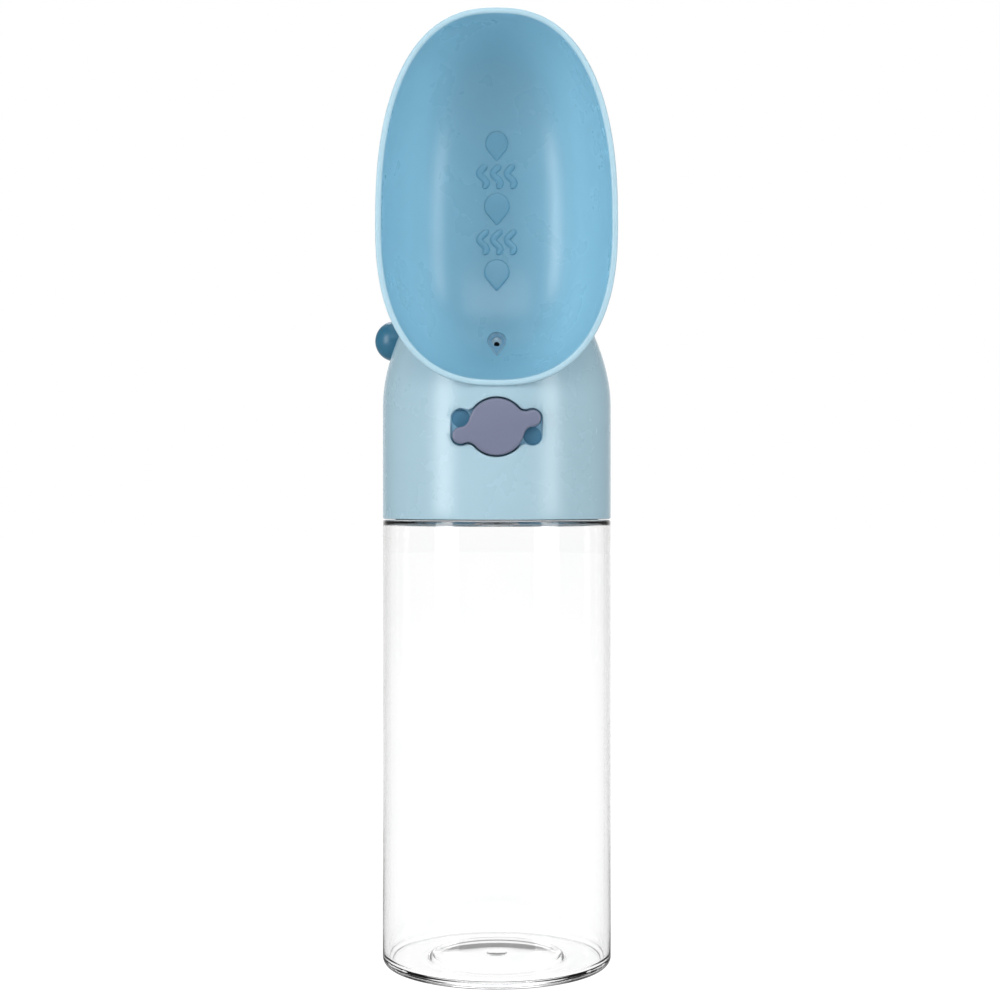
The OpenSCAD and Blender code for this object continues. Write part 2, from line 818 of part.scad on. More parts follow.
// Stem from the button to the seal: a piston, a thin waist for the water, and a head behind the seal
module valve_stem() {
    color("ghostwhite")
        difference() {
            union() {
                x_rod(button_x - flange_t, piston_end, piston_r);
                x_rod(piston_end - past, spring_x, stem_r);
                x_rod(spring_x - stem_head_t, spring_x, stem_head_r);
            }
            difference() {
                x_rod(stem_ring_x() - ring_cord_r - end_gap, stem_ring_x() + ring_cord_r + end_gap,
                    piston_r + past);
                x_rod(body_x - past, piston_end + past, piston_r - 2 * ring_cord_r + run_gap);
            }
        }
}

function stem_ring_x() = (body_x + piston_end) / 2;

module stem_ring() {
    color("dimgray")
        translate([stem_ring_x(), stem_y, stem_z])
            rotate([0, 90, 0])
                seal_ring(piston_r + run_gap);
}

module poppet_seal() {
    color("dimgray")
        difference() {
            x_rod(seat_x, seat_x + seal_t, seal_r);
            x_rod(seat_x - past, seat_x + seal_t + past, stem_r);
        }
}

// Compression spring round the valve's axis, one unbroken wire
module return_spring() {
    per_turn = 10;
    sides = 6;
    rings = spring_turns * per_turn;
    rise = spring_len - 2 * wire_r;
    lean = atan2(rise / spring_turns, 2 * PI * spring_r);
    color("silver")
        translate([spring_x + wire_r, stem_y, stem_z])
            loft([for (i = [0 : rings])
                let (turn = 360 * i / per_turn, out = [0, cos(turn), sin(turn)],
                    up = [cos(lean), sin(lean) * sin(turn), -sin(lean) * cos(turn)])
                [for (k = [0 : sides - 1])
                    [rise * i / rings, 0, 0] + spring_r * out
                    + wire_r * (cos(360 * k / sides) * out - sin(360 * k / sides) * up)]]);
}

module spring_cap() {
    color("teal") {
        x_rod(cap_x, cap_end - cap_flange / 2, chamber_r);
        x_rod(cap_end - cap_flange, cap_end, valve_r);
    }
}

bottle();
neck_washer();
head_shell();
valve_deck();
deck_screws();
inlet_strainer();
vent_valve();
valve_body();
lock_gasket();
shutoff_rotor();
rotor_front_ring();
rotor_rear_ring();
rotor_cover();
rotor_clip();
lock_knob();
release_button();
button_ring();
valve_stem();
stem_ring();
poppet_seal();
return_spring();
spring_cap();
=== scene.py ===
"""Looks of a dog travel water bottle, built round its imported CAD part.

Sizes are in millimetres, as on the part's drawing, and Bench turns them into the frame's metres. The
origin is the centre of the bottle's base, +Z is up and the scoop faces -Y.
"""

import logging
import math
from dataclasses import dataclass
from enum import Enum
from typing import Callable, Sequence

import bmesh
import bpy
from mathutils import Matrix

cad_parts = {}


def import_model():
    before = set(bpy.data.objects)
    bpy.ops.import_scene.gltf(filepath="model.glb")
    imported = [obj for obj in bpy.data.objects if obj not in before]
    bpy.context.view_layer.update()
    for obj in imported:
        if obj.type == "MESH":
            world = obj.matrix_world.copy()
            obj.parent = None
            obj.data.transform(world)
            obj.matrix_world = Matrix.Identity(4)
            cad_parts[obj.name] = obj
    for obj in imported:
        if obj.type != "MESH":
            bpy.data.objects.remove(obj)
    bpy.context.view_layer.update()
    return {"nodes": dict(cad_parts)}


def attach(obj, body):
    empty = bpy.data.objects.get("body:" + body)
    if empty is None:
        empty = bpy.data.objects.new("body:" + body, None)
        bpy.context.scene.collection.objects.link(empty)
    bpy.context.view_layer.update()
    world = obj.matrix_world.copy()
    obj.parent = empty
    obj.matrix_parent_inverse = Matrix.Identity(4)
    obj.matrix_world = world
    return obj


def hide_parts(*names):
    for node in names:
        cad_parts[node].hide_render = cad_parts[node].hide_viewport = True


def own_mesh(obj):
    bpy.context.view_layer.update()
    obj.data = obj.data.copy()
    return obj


LOG = logging.getLogger("water_bottle")
MM = 0.001

Point = tuple[float, float, float]
Flat = tuple[float, float]
Colour = tuple[float, float, float]
ORIGIN = (0.0, 0.0, 0.0)
WHITE_LIGHT = (1.0, 1.0, 1.0, 1.0)


def linear(red: float, green: float, blue: float) -> Colour:
    """Turns a screen colour into the linear one that a shader reads.

    Args:
        red: Red from 0 to 255.
        green: Green from 0 to 255.
        blue: Blue from 0 to 255.

    Returns:
        The three linear values from 0 to 1.
    """

    def one(value: float) -> float:
        """Linear value of one channel."""
        share = value / 255
        return share / 12.92 if share <= 0.04045 else ((share + 0.055) / 1.055) ** 2.4

    return one(red), one(green), one(blue)


def arc(centre: Flat, radius: float, start: float, end: float, steps: int) -> list[Flat]:
    """Points along an arc.

    Args:
        centre: Centre of the arc.
        radius: Radius of the arc.
        start: First angle in degrees.
        end: Last angle in degrees.
        steps: Number of steps between the two angles.

    Returns:
        The points, both ends included.
    """
    turns = (math.radians(start + (end - start) * i / steps) for i in range(steps + 1))
    return [(centre[0] + radius * math.cos(a), centre[1] + radius * math.sin(a)) for a in turns]


def drop(radius: float, tip: float, tip_round: float = 0.25, steps: int = 40) -> list[Flat]:
    """Outline of a drop with its point down.

    Args:
        radius: Radius of its round part, whose middle is the origin.
        tip: Distance of the point from that middle.
        tip_round: Radius that rounds the point off.
        steps: Number of steps round the round part.

    Returns:
        The points, anticlockwise.
    """
    lean = math.degrees(math.acos(radius / tip))
    foot = (0.0, -tip + tip_round * tip / radius)
    return arc((0, 0), radius, lean - 90, 270 - lean, steps) + arc(
        foot, tip_round, 270 - lean, 270 + lean, 6
    )


def lip(edge: float, steps: int) -> list[Flat]:
    """Steps round a rounded edge.

    Args:
        edge: Radius of the edge.
        steps: Number of steps.

    Returns:
        Pairs of how far a ring is drawn aside and how far it still lies below the edge's top.
    """
    turns = (math.pi / 2 * i / steps for i in range(steps + 1))
    return [(edge * (1 - math.cos(a)), edge * (1 - math.sin(a))) for a in turns]


def rod(radius: float, low: float, high: float) -> list[Flat]:
    """Half section of a plain rod, as (radius, place along its axis)."""
    return [(0, low), (radius, low), (radius, high), (0, high)]


def spow(value: float, power: float) -> float:
    """Signed power, which rounds a circle into a superellipse."""
    return math.copysign(abs(value) ** power, value)


def ease(value: float, low: float, high: float) -> float:
    """Smooth step from 0 at low to 1 at high."""
    t = min(max((value - low) / (high - low), 0.0), 1.0)
    return t * t * (3 - 2 * t)


# Materials


class Wire:
    """A shader's output socket that Python's operators act on."""

    def __init__(self, paint: "Paint", socket: bpy.types.NodeSocket) -> None:
        """Wraps a socket of a paint's node tree."""
        self.paint = paint
        self.socket = socket

    def _maths(self, operation: str, first: object, second: object) -> "Wire":
        """Adds one Math node."""
        return self.paint.wire("ShaderNodeMath", {"operation": operation}, {0: first, 1: second})

    def __add__(self, other: object) -> "Wire":
        """Sum with a value or wire."""
        return self._maths("ADD", self, other)

    def __sub__(self, other: object) -> "Wire":
        """Difference from a value or wire."""
        return self._maths("SUBTRACT", self, other)

    def __rsub__(self, other: object) -> "Wire":
        """A value less this wire."""
        return self._maths("SUBTRACT", other, self)

    def __mul__(self, other: object) -> "Wire":
        """Product with a value or wire."""
        return self._maths("MULTIPLY", self, other)

    __radd__ = __add__
    __rmul__ = __mul__

    def most(self, other: object) -> "Wire":
        """The larger of this wire and a value or wire."""
        return self._maths("MAXIMUM", self, other)

    def ramp(self, low: float, high: float) -> "Wire":
        """Smooth step from 0 at low to 1 at high."""
        return self.paint.wire(
            "ShaderNodeMapRange",
            {"interpolation_type": "SMOOTHSTEP"},
            {"Value": self, "From Min": low, "From Max": high},
        )


class Paint:
    """One node tree, with the few calls that add nodes to it."""

    def __init__(self, tree: bpy.types.NodeTree) -> None:
        """Empties a node tree and keeps it."""
        self.tree = tree
        self.tree.nodes.clear()

    def node(self, kind: str, settings: dict, sockets: dict) -> bpy.types.Node:
        """Adds a node.

        Args:
            kind: The node's type.
            settings: The node's own settings, which are made first.
            sockets: Values or wires of its inputs, by name or number.

        Returns:
            The new node.
        """
        node = self.tree.nodes.new(kind)
        for key, value in settings.items():
            setattr(node, key, value)
        for key, value in sockets.items():
            if isinstance(value, Wire):
                self.tree.links.new(value.socket, node.inputs[key])
            else:
                node.inputs[key].default_value = value
        return node

    def wire(self, kind: str, settings: dict, sockets: dict, output: int | str = 0) -> Wire:
        """Adds a node and wraps one of its outputs."""
        return Wire(self, self.node(kind, settings, sockets).outputs[output])

    def place(self) -> Wire:
        """Object coordinates of the shaded point, in metres."""
        return self.wire("ShaderNodeTexCoord", {}, {}, "Object")

    def noise(self, place: Wire, per_metre: float, detail: float = 3.0) -> Wire:
        """Cloudy noise from 0 to 1, at a scale in features per metre."""
        sockets = {"Vector": place, "Scale": per_metre, "Detail": detail}
        return self.wire("ShaderNodeTexNoise", {}, sockets, 0)

    def axis(self, place: Wire, name: str) -> Wire:
        """One of X, Y and Z of a vector."""
        return self.wire("ShaderNodeSeparateXYZ", {}, {"Vector": place}, name)

    def blend(self, share: Wire, first: object, second: object) -> Wire:
        """Mixes two colours."""
        first, second = (c if isinstance(c, Wire) else (*c, 1.0) for c in (first, second))
        return self.wire(
            "ShaderNodeMix", {"data_type": "RGBA"}, {0: share, 6: first, 7: second}, 2
        )

    def bump(self, height: Wire, depth: float) -> Wire:
        """Normal of a surface raised by a height from 0 to 1 times a depth in metres."""
        return self.wire("ShaderNodeBump", {}, {"Height": height, "Distance": depth}, "Normal")

    def surface(self, sockets: dict) -> None:
        """Ends the tree in a Principled shader."""
        shader = self.wire("ShaderNodeBsdfPrincipled", {}, sockets)
        self.node("ShaderNodeOutputMaterial", {}, {"Surface": shader})


def new_paint(name: str) -> tuple[bpy.types.Material, Paint]:
    """Makes an empty node material.

    Args:
        name: The material's name.

    Returns:
        The material, and its emptied node tree.
    """
    material = bpy.data.materials.new(name)
    material.use_nodes = True
    return material, Paint(material.node_tree)


@dataclass(frozen=True)
class MouldedPlastic:
    """Coloured plastic out of a mould, with clouded pigment, fine grain and faint handling marks.

    The colours are the pigment's own and that of its clouds, grain is a height in metres, and
    clouds, specks, rubs, grit and ripples are counts per metre.
    """

    name: str
    colour: Colour
    deep: Colour
    roughness: float = 0.36
    grain: float = 0.000005
    marks: float = 0.01
    clouds: float = 55.0
    specks: float = 2600.0
    rubs: float = 210.0
    grit: float = 1900.0
    ripples: float = 130.0

    def material(self) -> bpy.types.Material:
        """Builds the finish.

        Returns:
            The new material.
        """
        material, paint = new_paint(self.name)
        place = paint.place()
        cloud = paint.noise(place, self.clouds, 4.0).ramp(0.32, 0.7)
        speck = paint.noise(place, self.specks, 2.0)
        rub = paint.noise(place, self.rubs, 5.0).ramp(0.52, 0.74)
        colour = paint.blend(cloud * 0.35 + speck * 0.12, self.colour, self.deep)
        fine = paint.noise(place, self.grit, 2.0)
        ripple = paint.noise(place, self.ripples, 1.0)
        paint.surface(
            {
                "Base Color": colour,
                "Roughness": cloud * 0.02 + rub * self.marks + self.roughness,
                "Normal": paint.bump(fine * 0.5 + ripple * 1.2, self.grain),
                "IOR": 1.52,
            }
        )
        return material


@dataclass(frozen=True)
class ClearPlastic:
    """Clear moulded plastic, with faint ripples and a slightly clouded gloss."""

    name: str = "clear_plastic"
    hazes: float = 60.0
    ripples: float = 34.0
    ripple_depth: float = 0.00004

    def material(self) -> bpy.types.Material:
        """Builds the finish.

        Returns:
            The new material.
        """
        material, paint = new_paint(self.name)
        place = paint.place()
        haze = paint.noise(place, self.hazes, 4.0).ramp(0.45, 0.75)
        ripple = paint.noise(place, self.ripples, 1.0)
        paint.surface(
            {
                "Base Color": paint.blend(haze, (1.0, 1.0, 1.0), (0.985, 0.99, 0.992)),
                "Roughness": haze * 0.012 + 0.004,
                "Normal": paint.bump(ripple, self.ripple_depth),
                "Transmission Weight": 1.0,
                "IOR": 1.49,
            }
        )
        return material


@dataclass(frozen=True)
class SoftRubber:
    """Dull seal rubber or silicone, with fine grain."""

    name: str
    colour: Colour
    deep: Colour
    clouds: float = 160.0
    grit: float = 3200.0
    grain: float = 0.00001

    def material(self) -> bpy.types.Material:
        """Builds the finish.

        Returns:
            The new material.
        """
        material, paint = new_paint(self.name)
        place = paint.place()
        cloud = paint.noise(place, self.clouds, 4.0)
        fine = paint.noise(place, self.grit, 2.0)
        paint.surface(
            {
                "Base Color": paint.blend(cloud, self.colour, self.deep),
                "Roughness": cloud * 0.15 + 0.55,
                "Normal": paint.bump(fine, self.grain),
            }
        )
        return material


@dataclass(frozen=True)
class BrushedSteel:
    """Drawn or stamped stainless steel, with fine streaks."""

    name: str = "steel"
    streaks: float = 5200.0
    stretch: float = 0.08
    grain: float = 0.000006

    def material(self) -> bpy.types.Material:
        """Builds the finish.

        Returns:
            The new material.
        """
        material, paint = new_paint(self.name)
        place = paint.place()
        drawn = paint.wire(
            "ShaderNodeMapping", {}, {"Vector": place, "Scale": (1.0, self.stretch, 1.0)}
        )
        streak = paint.noise(drawn, self.streaks, 3.0)
        paint.surface(
            {
                "Base Color": paint.blend(streak, (0.56, 0.57, 0.58), (0.7, 0.7, 0.71)),
                "Metallic": 1.0,
                "Roughness": streak * 0.14 + 0.22,
                "Normal": paint.bump(streak, self.grain),
            }
        )
        return material


class Finish(Enum):
    """Every finish on the bottle, by what it covers."""

    OUTSIDE = MouldedPlastic("head_blue", linear(167, 198, 212), linear(162, 193, 208), 0.26)
    # Painted shade: the bowl's inside is the head's own plastic, deepened and saturated to stand for
    # shade and light bounced inside the bowl.
    BOWL = MouldedPlastic("bowl_painted_shade_blue", linear(144, 196, 218), linear(138, 191, 213), 0.27)
    # Painted shade: the raised relief is the head's plastic, darkened a little below the bowl's painted
    # shade.
    RELIEF = MouldedPlastic("relief_painted_shade_blue", linear(130, 186, 210), linear(124, 181, 206), 0.3)
    # Painted highlight: the rim is the head's plastic, lightened to stand for the light that its
    # rounded lip catches.
    RIM = MouldedPlastic("rim_painted_highlight_blue", linear(174, 208, 223), linear(169, 203, 219), 0.3)
    # Partly painted shade: on the lock recess's floor this darker blue stands for the head's plastic in
    # shade; on the inner pieces it is their own colour.
    INNER = MouldedPlastic("inner_blue", linear(128, 176, 203), linear(118, 168, 197), 0.4)
    TEAL = MouldedPlastic("teal", linear(48, 111, 140), linear(41, 102, 131), 0.34)
    STUD = MouldedPlastic("stud_teal", linear(66, 122, 154), linear(58, 114, 147), 0.38)
    KNOB = MouldedPlastic("knob_lilac", linear(116, 122, 146), linear(112, 118, 143), 0.36)
    WHITE = MouldedPlastic("white_plastic", linear(235, 237, 238), linear(226, 229, 231), 0.45)
    SOFT_WHITE = SoftRubber("soft_white", linear(228, 230, 231), linear(216, 219, 221))
    SEAL = SoftRubber("seal_rubber", linear(46, 47, 50), linear(34, 35, 38))
    STEEL = BrushedSteel()
    CLEAR = ClearPlastic()


class Workshop:
    """Keeps one material of each finish, and dresses and seats pieces."""

    def __init__(self) -> None:
        """Starts with no materials made."""
        self.made: dict[Finish, bpy.types.Material] = {}

    def material(self, finish: Finish) -> bpy.types.Material:
        """The material of a finish, made when it is first asked for.

        Args:
            finish: The finish.

        Returns:
            Its material.
        """
        if finish not in self.made:
            self.made[finish] = finish.value.material()
        return self.made[finish]

    def seat(
        self,
        piece: bpy.types.Object,
        body: str,
        slot: str,
        finishes: Sequence[Finish],
        replaced: Sequence[str] = (),
    ) -> None:
        """Dresses a piece, and lets it ride on its body.

        Args:
            piece: The finished mesh object.
            body: The CAD body that it moves with.
            slot: The record's material slot. It is not used.
            finishes: Its finishes, in the order of its faces' material numbers.
            replaced: CAD nodes that it stands for.
        """
        piece.data.materials.clear()
        for finish in finishes:
            piece.data.materials.append(self.material(finish))
        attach(piece, body)
        if replaced:
            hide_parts(*replaced)
        LOG.info("%s: %d faces on %s", piece.name, len(piece.data.polygons), body)

    def dress_node(self, node: bpy.types.Object, finish: Finish) -> None:
        """Gives a CAD node that stays its finish.

        Args:
            node: The CAD node's object.
            finish: The finish that it gets.
        """
        for slot in node.material_slots:
            slot.material = self.material(finish)
        LOG.info("%s: CAD solid in %s", node.name, finish.name)


# Modelling


class Axis(Enum):
    """The axis that a piece is turned about."""

    X = (1.0, 0.0, 0.0)
    Y = (0.0, 1.0, 0.0)
    Z = (0.0, 0.0, 1.0)

    def point(self, radius: float, along: float) -> Point:
        """A point at a radius and a place along this axis.

        Args:
            radius: Distance from the axis.
            along: Place along the axis.

        Returns:
            The point.
        """
        if self is Axis.X:
            return along, radius, 0.0
        if self is Axis.Y:
            return radius, along, 0.0
        return radius, 0.0, along


class Bench:
    """Makes meshes with Blender's own operators, from sizes in millimetres.

    The class holds the smallest lengths that keep cuts clean: a cutting tool's lip lies a lift
    past the surface and ends clear of it, and points nearer than a cut's reach are merged.
    """

    lift: float = 0.012
    lip_clear: float = 0.15
    cut_reach: float = 0.005
    lip_steps: int = 5
    turn_steps: int = 96

    @staticmethod
    def clear() -> None:
        """Leaves edit mode and selects nothing."""
        if bpy.context.mode != "OBJECT":
            bpy.ops.object.mode_set(mode="OBJECT")
        bpy.ops.object.select_all(action="DESELECT")

    @staticmethod
    def take(piece: bpy.types.Object) -> None:
        """Selects one piece alone.

        Args:
            piece: The piece.
        """
        Bench.clear()
        piece.select_set(True)
        bpy.context.view_layer.objects.active = piece

    @staticmethod
    def started(name: str) -> bpy.types.Object:
        """Names the primitive that was just added.

        Args:
            name: The primitive's new name.

        Returns:
            The primitive.
        """
        piece = bpy.context.object
        piece.name = piece.data.name = name
        return piece

    @staticmethod
    def settle() -> None:
        """Puts the place, turn and size of what is selected into its mesh."""
        bpy.ops.object.transform_apply(location=True, rotation=True, scale=True)

    @staticmethod
    def heal(piece: bpy.types.Object, reach: float = 0.001) -> None:
        """Merges points that lie within a reach, and turns all faces outwards.

        Args:
            piece: The piece to mend.
            reach: Distance within which points are merged.
        """
        Bench.take(piece)
        bpy.ops.object.mode_set(mode="EDIT")
        bpy.ops.mesh.select_all(action="SELECT")
        bpy.ops.mesh.remove_doubles(threshold=reach * MM)
        bpy.ops.mesh.normals_make_consistent(inside=False)
        bpy.ops.object.mode_set(mode="OBJECT")

    @staticmethod
    def loft(
        name: str, rings: Sequence[Sequence[Point]], fan: bool = True
    ) -> bpy.types.Object:
        """Draws a circle out through rings of equally many points.

        Args:
            name: Name of the new piece.
            rings: The rings' points, in order.
            fan: Whether the end faces are split from their middles.

        Returns:
            The closed piece.
        """
        count = len(rings[0])
        Bench.clear()
        bpy.ops.mesh.primitive_circle_add(vertices=count, radius=MM)
        piece = Bench.started(name)
        bpy.ops.object.mode_set(mode="EDIT")
        mesh = bmesh.from_edit_mesh(piece.data)
        mesh.verts.ensure_lookup_table()
        place = mesh.verts.layers.int.new("place")
        for i in range(count):
            mesh.verts[i][place] = i
            mesh.verts[i].co = [c * MM for c in rings[0][i]]
        bmesh.update_edit_mesh(piece.data)
        for ring in rings[1:]:
            bpy.ops.mesh.extrude_region_move()
            mesh = bmesh.from_edit_mesh(piece.data)
            place = mesh.verts.layers.int["place"]
            for vert in mesh.verts:
                if vert.select:
                    vert.co = [c * MM for c in ring[vert[place]]]
            bmesh.update_edit_mesh(piece.data)
        for first in (False, True):
            if first:
                Bench.pick(piece, lambda vert: vert.index < count)
            bpy.ops.mesh.edge_face_add()
            if fan:
                bpy.ops.mesh.poke()
        bpy.ops.object.mode_set(mode="OBJECT")
        piece.data.attributes.remove(piece.data.attributes["place"])
        Bench.heal(piece)
        return piece

    @staticmethod
    def flared(
        name: str,
        inner: Sequence[Sequence[Point]],
        ring: Callable[[float, float], list[Point]],
        outer: Sequence[Point],
        edge: float,
    ) -> bpy.types.Object:
        """Makes a cutting tool that widens where it meets a surface, so that its hole gets a round lip.

        Args:
            name: Name of the new tool.
            inner: The tool's rings below the lip, the deepest first.
            ring: Gives a ring grown by one amount, at a second amount below the surface.
            outer: The tool's last ring, well clear of the surface.
            edge: Radius of the lip.

        Returns:
            The closed tool.
        """
        rings = list(inner)
        for out, down in lip(edge, Bench.lip_steps):
            rings.append(ring(out, down - Bench.lift))
        rings += [ring(edge + Bench.lip_clear, -Bench.lip_clear), outer]
        return Bench.loft(name, rings, fan=False)

    @staticmethod
    def pick(piece: bpy.types.Object, wanted: Callable[[bmesh.types.BMVert], bool]) -> None:
        """Selects the points of a piece in edit mode that pass a test.

        Args:
            piece: The piece, in edit mode.
            wanted: The test, which takes a point.
        """
        bpy.ops.mesh.select_all(action="DESELECT")
        bpy.ops.mesh.select_mode(type="VERT")
        mesh = bmesh.from_edit_mesh(piece.data)
        for vert in mesh.verts:
            vert.select_set(wanted(vert))
        mesh.select_flush(True)
        bmesh.update_edit_mesh(piece.data)

    @staticmethod
    def turned(
        name: str,
        profile: Sequence[Flat],
        axis: Axis,
        centre: Point = ORIGIN,
        steps: int = 96,
        closed: bool = False,
    ) -> bpy.types.Object:
        """Spins a profile round an axis, as on a lathe.

        Args:
            name: Name of the new piece.
            profile: Points as (radius, place along the axis).
            axis: The axis to turn about.
            centre: The point that the axis passes through.
            steps: Number of steps round the axis.
            closed: Whether the profile's last point joins its first.

        Returns:
            The turned piece.
        """
        points = [
            [(c + o) * MM for c, o in zip(axis.point(*place), centre)] for place in profile
        ]
        Bench.clear()
        bpy.ops.mesh.primitive_plane_add(size=MM, location=points[0])
        piece = Bench.started(name)
        Bench.settle()
        bpy.ops.object.mode_set(mode="EDIT")
        bpy.ops.mesh.merge(type="CENTER")
        for last, point in zip(points, points[1:]):
            step = [b - a for a, b in zip(last, point)]
            bpy.ops.mesh.extrude_region_move(TRANSFORM_OT_translate={"value": step})
        if closed:
            Bench.pick(piece, lambda vert: len(vert.link_edges) == 1)
            bpy.ops.mesh.edge_face_add()
        bpy.ops.mesh.select_all(action="SELECT")
        bpy.ops.mesh.spin(
            steps=steps, angle=math.tau, center=[c * MM for c in centre], axis=axis.value
        )
        bpy.ops.object.mode_set(mode="OBJECT")
        Bench.heal(piece)
        return piece

    @staticmethod
    def modify(piece: bpy.types.Object, kind: str, **settings: object) -> None:
        """Adds a modifier to a piece and applies it.

        Args:
            piece: The piece.
            kind: The modifier's type.
            settings: The modifier's own settings.
        """
        Bench.take(piece)
        modifier = piece.modifiers.new(kind.lower(), kind)
        for key, value in settings.items():
            setattr(modifier, key, value)
        bpy.ops.object.modifier_apply(modifier=modifier.name)

    @staticmethod
    def combine(piece: bpy.types.Object, other: bpy.types.Object, operation: str) -> None:
        """Joins another closed piece to this one, or cuts with it, and uses the other up.

        Args:
            piece: The piece that stays.
            other: The closed piece that is used up.
            operation: UNION, DIFFERENCE or INTERSECT.
        """
        Bench.modify(piece, "BOOLEAN", object=other, operation=operation, solver="EXACT")
        bpy.data.objects.remove(other, do_unlink=True)
        Bench.heal(piece, Bench.cut_reach)

    @staticmethod
    def soften(piece: bpy.types.Object, width: float, steps: int = 3, angle: float = 30) -> None:
        """Rounds every edge sharper than an angle.

        Args:
            piece: The piece.
            width: Width of the rounding.
            steps: Number of faces across the rounding.
            angle: Angle in degrees from which an edge is rounded.
        """
        Bench.modify(
            piece,
            "BEVEL",
            width=width * MM,
            segments=steps,
            limit_method="ANGLE",
            angle_limit=math.radians(angle),
        )

    @staticmethod
    def smooth(piece: bpy.types.Object, angle: float = 35) -> None:
        """Shades a piece smooth, apart from edges sharper than an angle."""
        Bench.take(piece)
        bpy.ops.object.shade_smooth_by_angle(angle=math.radians(angle))

    @staticmethod
    def join(name: str, pieces: Sequence[bpy.types.Object]) -> bpy.types.Object:
        """Joins pieces into the first of them, under a name.

        Args:
            name: Name of the joined piece.
            pieces: The pieces, which are used up.

        Returns:
            The joined piece.
        """
        Bench.clear()
        for piece in pieces:
            piece.select_set(True)
        bpy.context.view_layer.objects.active = pieces[0]
        bpy.ops.object.join()
        pieces[0].name = pieces[0].data.name = name
        return pieces[0]

    @staticmethod
    def block(name: str, low: Point, high: Point) -> bpy.types.Object:
        """A block between two corners.

        Args:
            name: Name of the new piece.
            low: The corner nearest to -X, -Y and -Z.
            high: The corner opposite to it.

        Returns:
            The block.
        """
        Bench.clear()
        middle = [(a + b) / 2 * MM for a, b in zip(low, high)]
        bpy.ops.mesh.primitive_cube_add(size=1, location=middle)
        piece = Bench.started(name)
        bpy.ops.transform.resize(value=[(b - a) * MM for a, b in zip(low, high)])
        Bench.settle()
        return piece

    @staticmethod
    def thread(
        name: str, profile: Sequence[Flat], pitch: float, turns: float, fade: float
    ) -> bpy.types.Object:
        """Sweeps a closed profile up a helix, fading it out at both ends.

        Args:
            name: Name of the new piece.
            profile: Closed outline as (radius, height), its first point on the wall.
            pitch: Rise in one turn.
            turns: Number of turns.
            fade: Share of a turn over which each end fades into the wall.

        Returns:
            The right-handed thread.
        """
        Bench.clear()
        bpy.ops.mesh.primitive_circle_add(vertices=len(profile), radius=MM)
        piece = Bench.started(name)
        for vert, (radius, height) in zip(piece.data.vertices, profile):
            vert.co = (radius * MM, 0.0, height * MM)
        steps = round(Bench.turn_steps * turns)
        Bench.modify(
            piece,
            "SCREW",
            axis="Z",
            angle=math.tau * turns,
            screw_offset=pitch * turns * MM,
            steps=steps,
            render_steps=steps,
        )
        wall, count = profile[0][0], len(profile)
        for vert in piece.data.vertices:
            along = (vert.index // count) / steps * turns
            share = ease(min(along, turns - along), 0.0, fade)
            x, y, z = (c / MM for c in vert.co)
            radius = math.hypot(x, y)
            scale = (wall + (radius - wall) * max(share, 0.02)) / radius
            vert.co = (x * scale * MM, y * scale * MM, z * MM)
        Bench.take(piece)
        bpy.ops.object.mode_set(mode="EDIT")
        bpy.ops.mesh.select_all(action="SELECT")
        bpy.ops.mesh.fill_holes(sides=0)
        bpy.ops.object.mode_set(mode="OBJECT")
        Bench.heal(piece)
        return piece


# The head


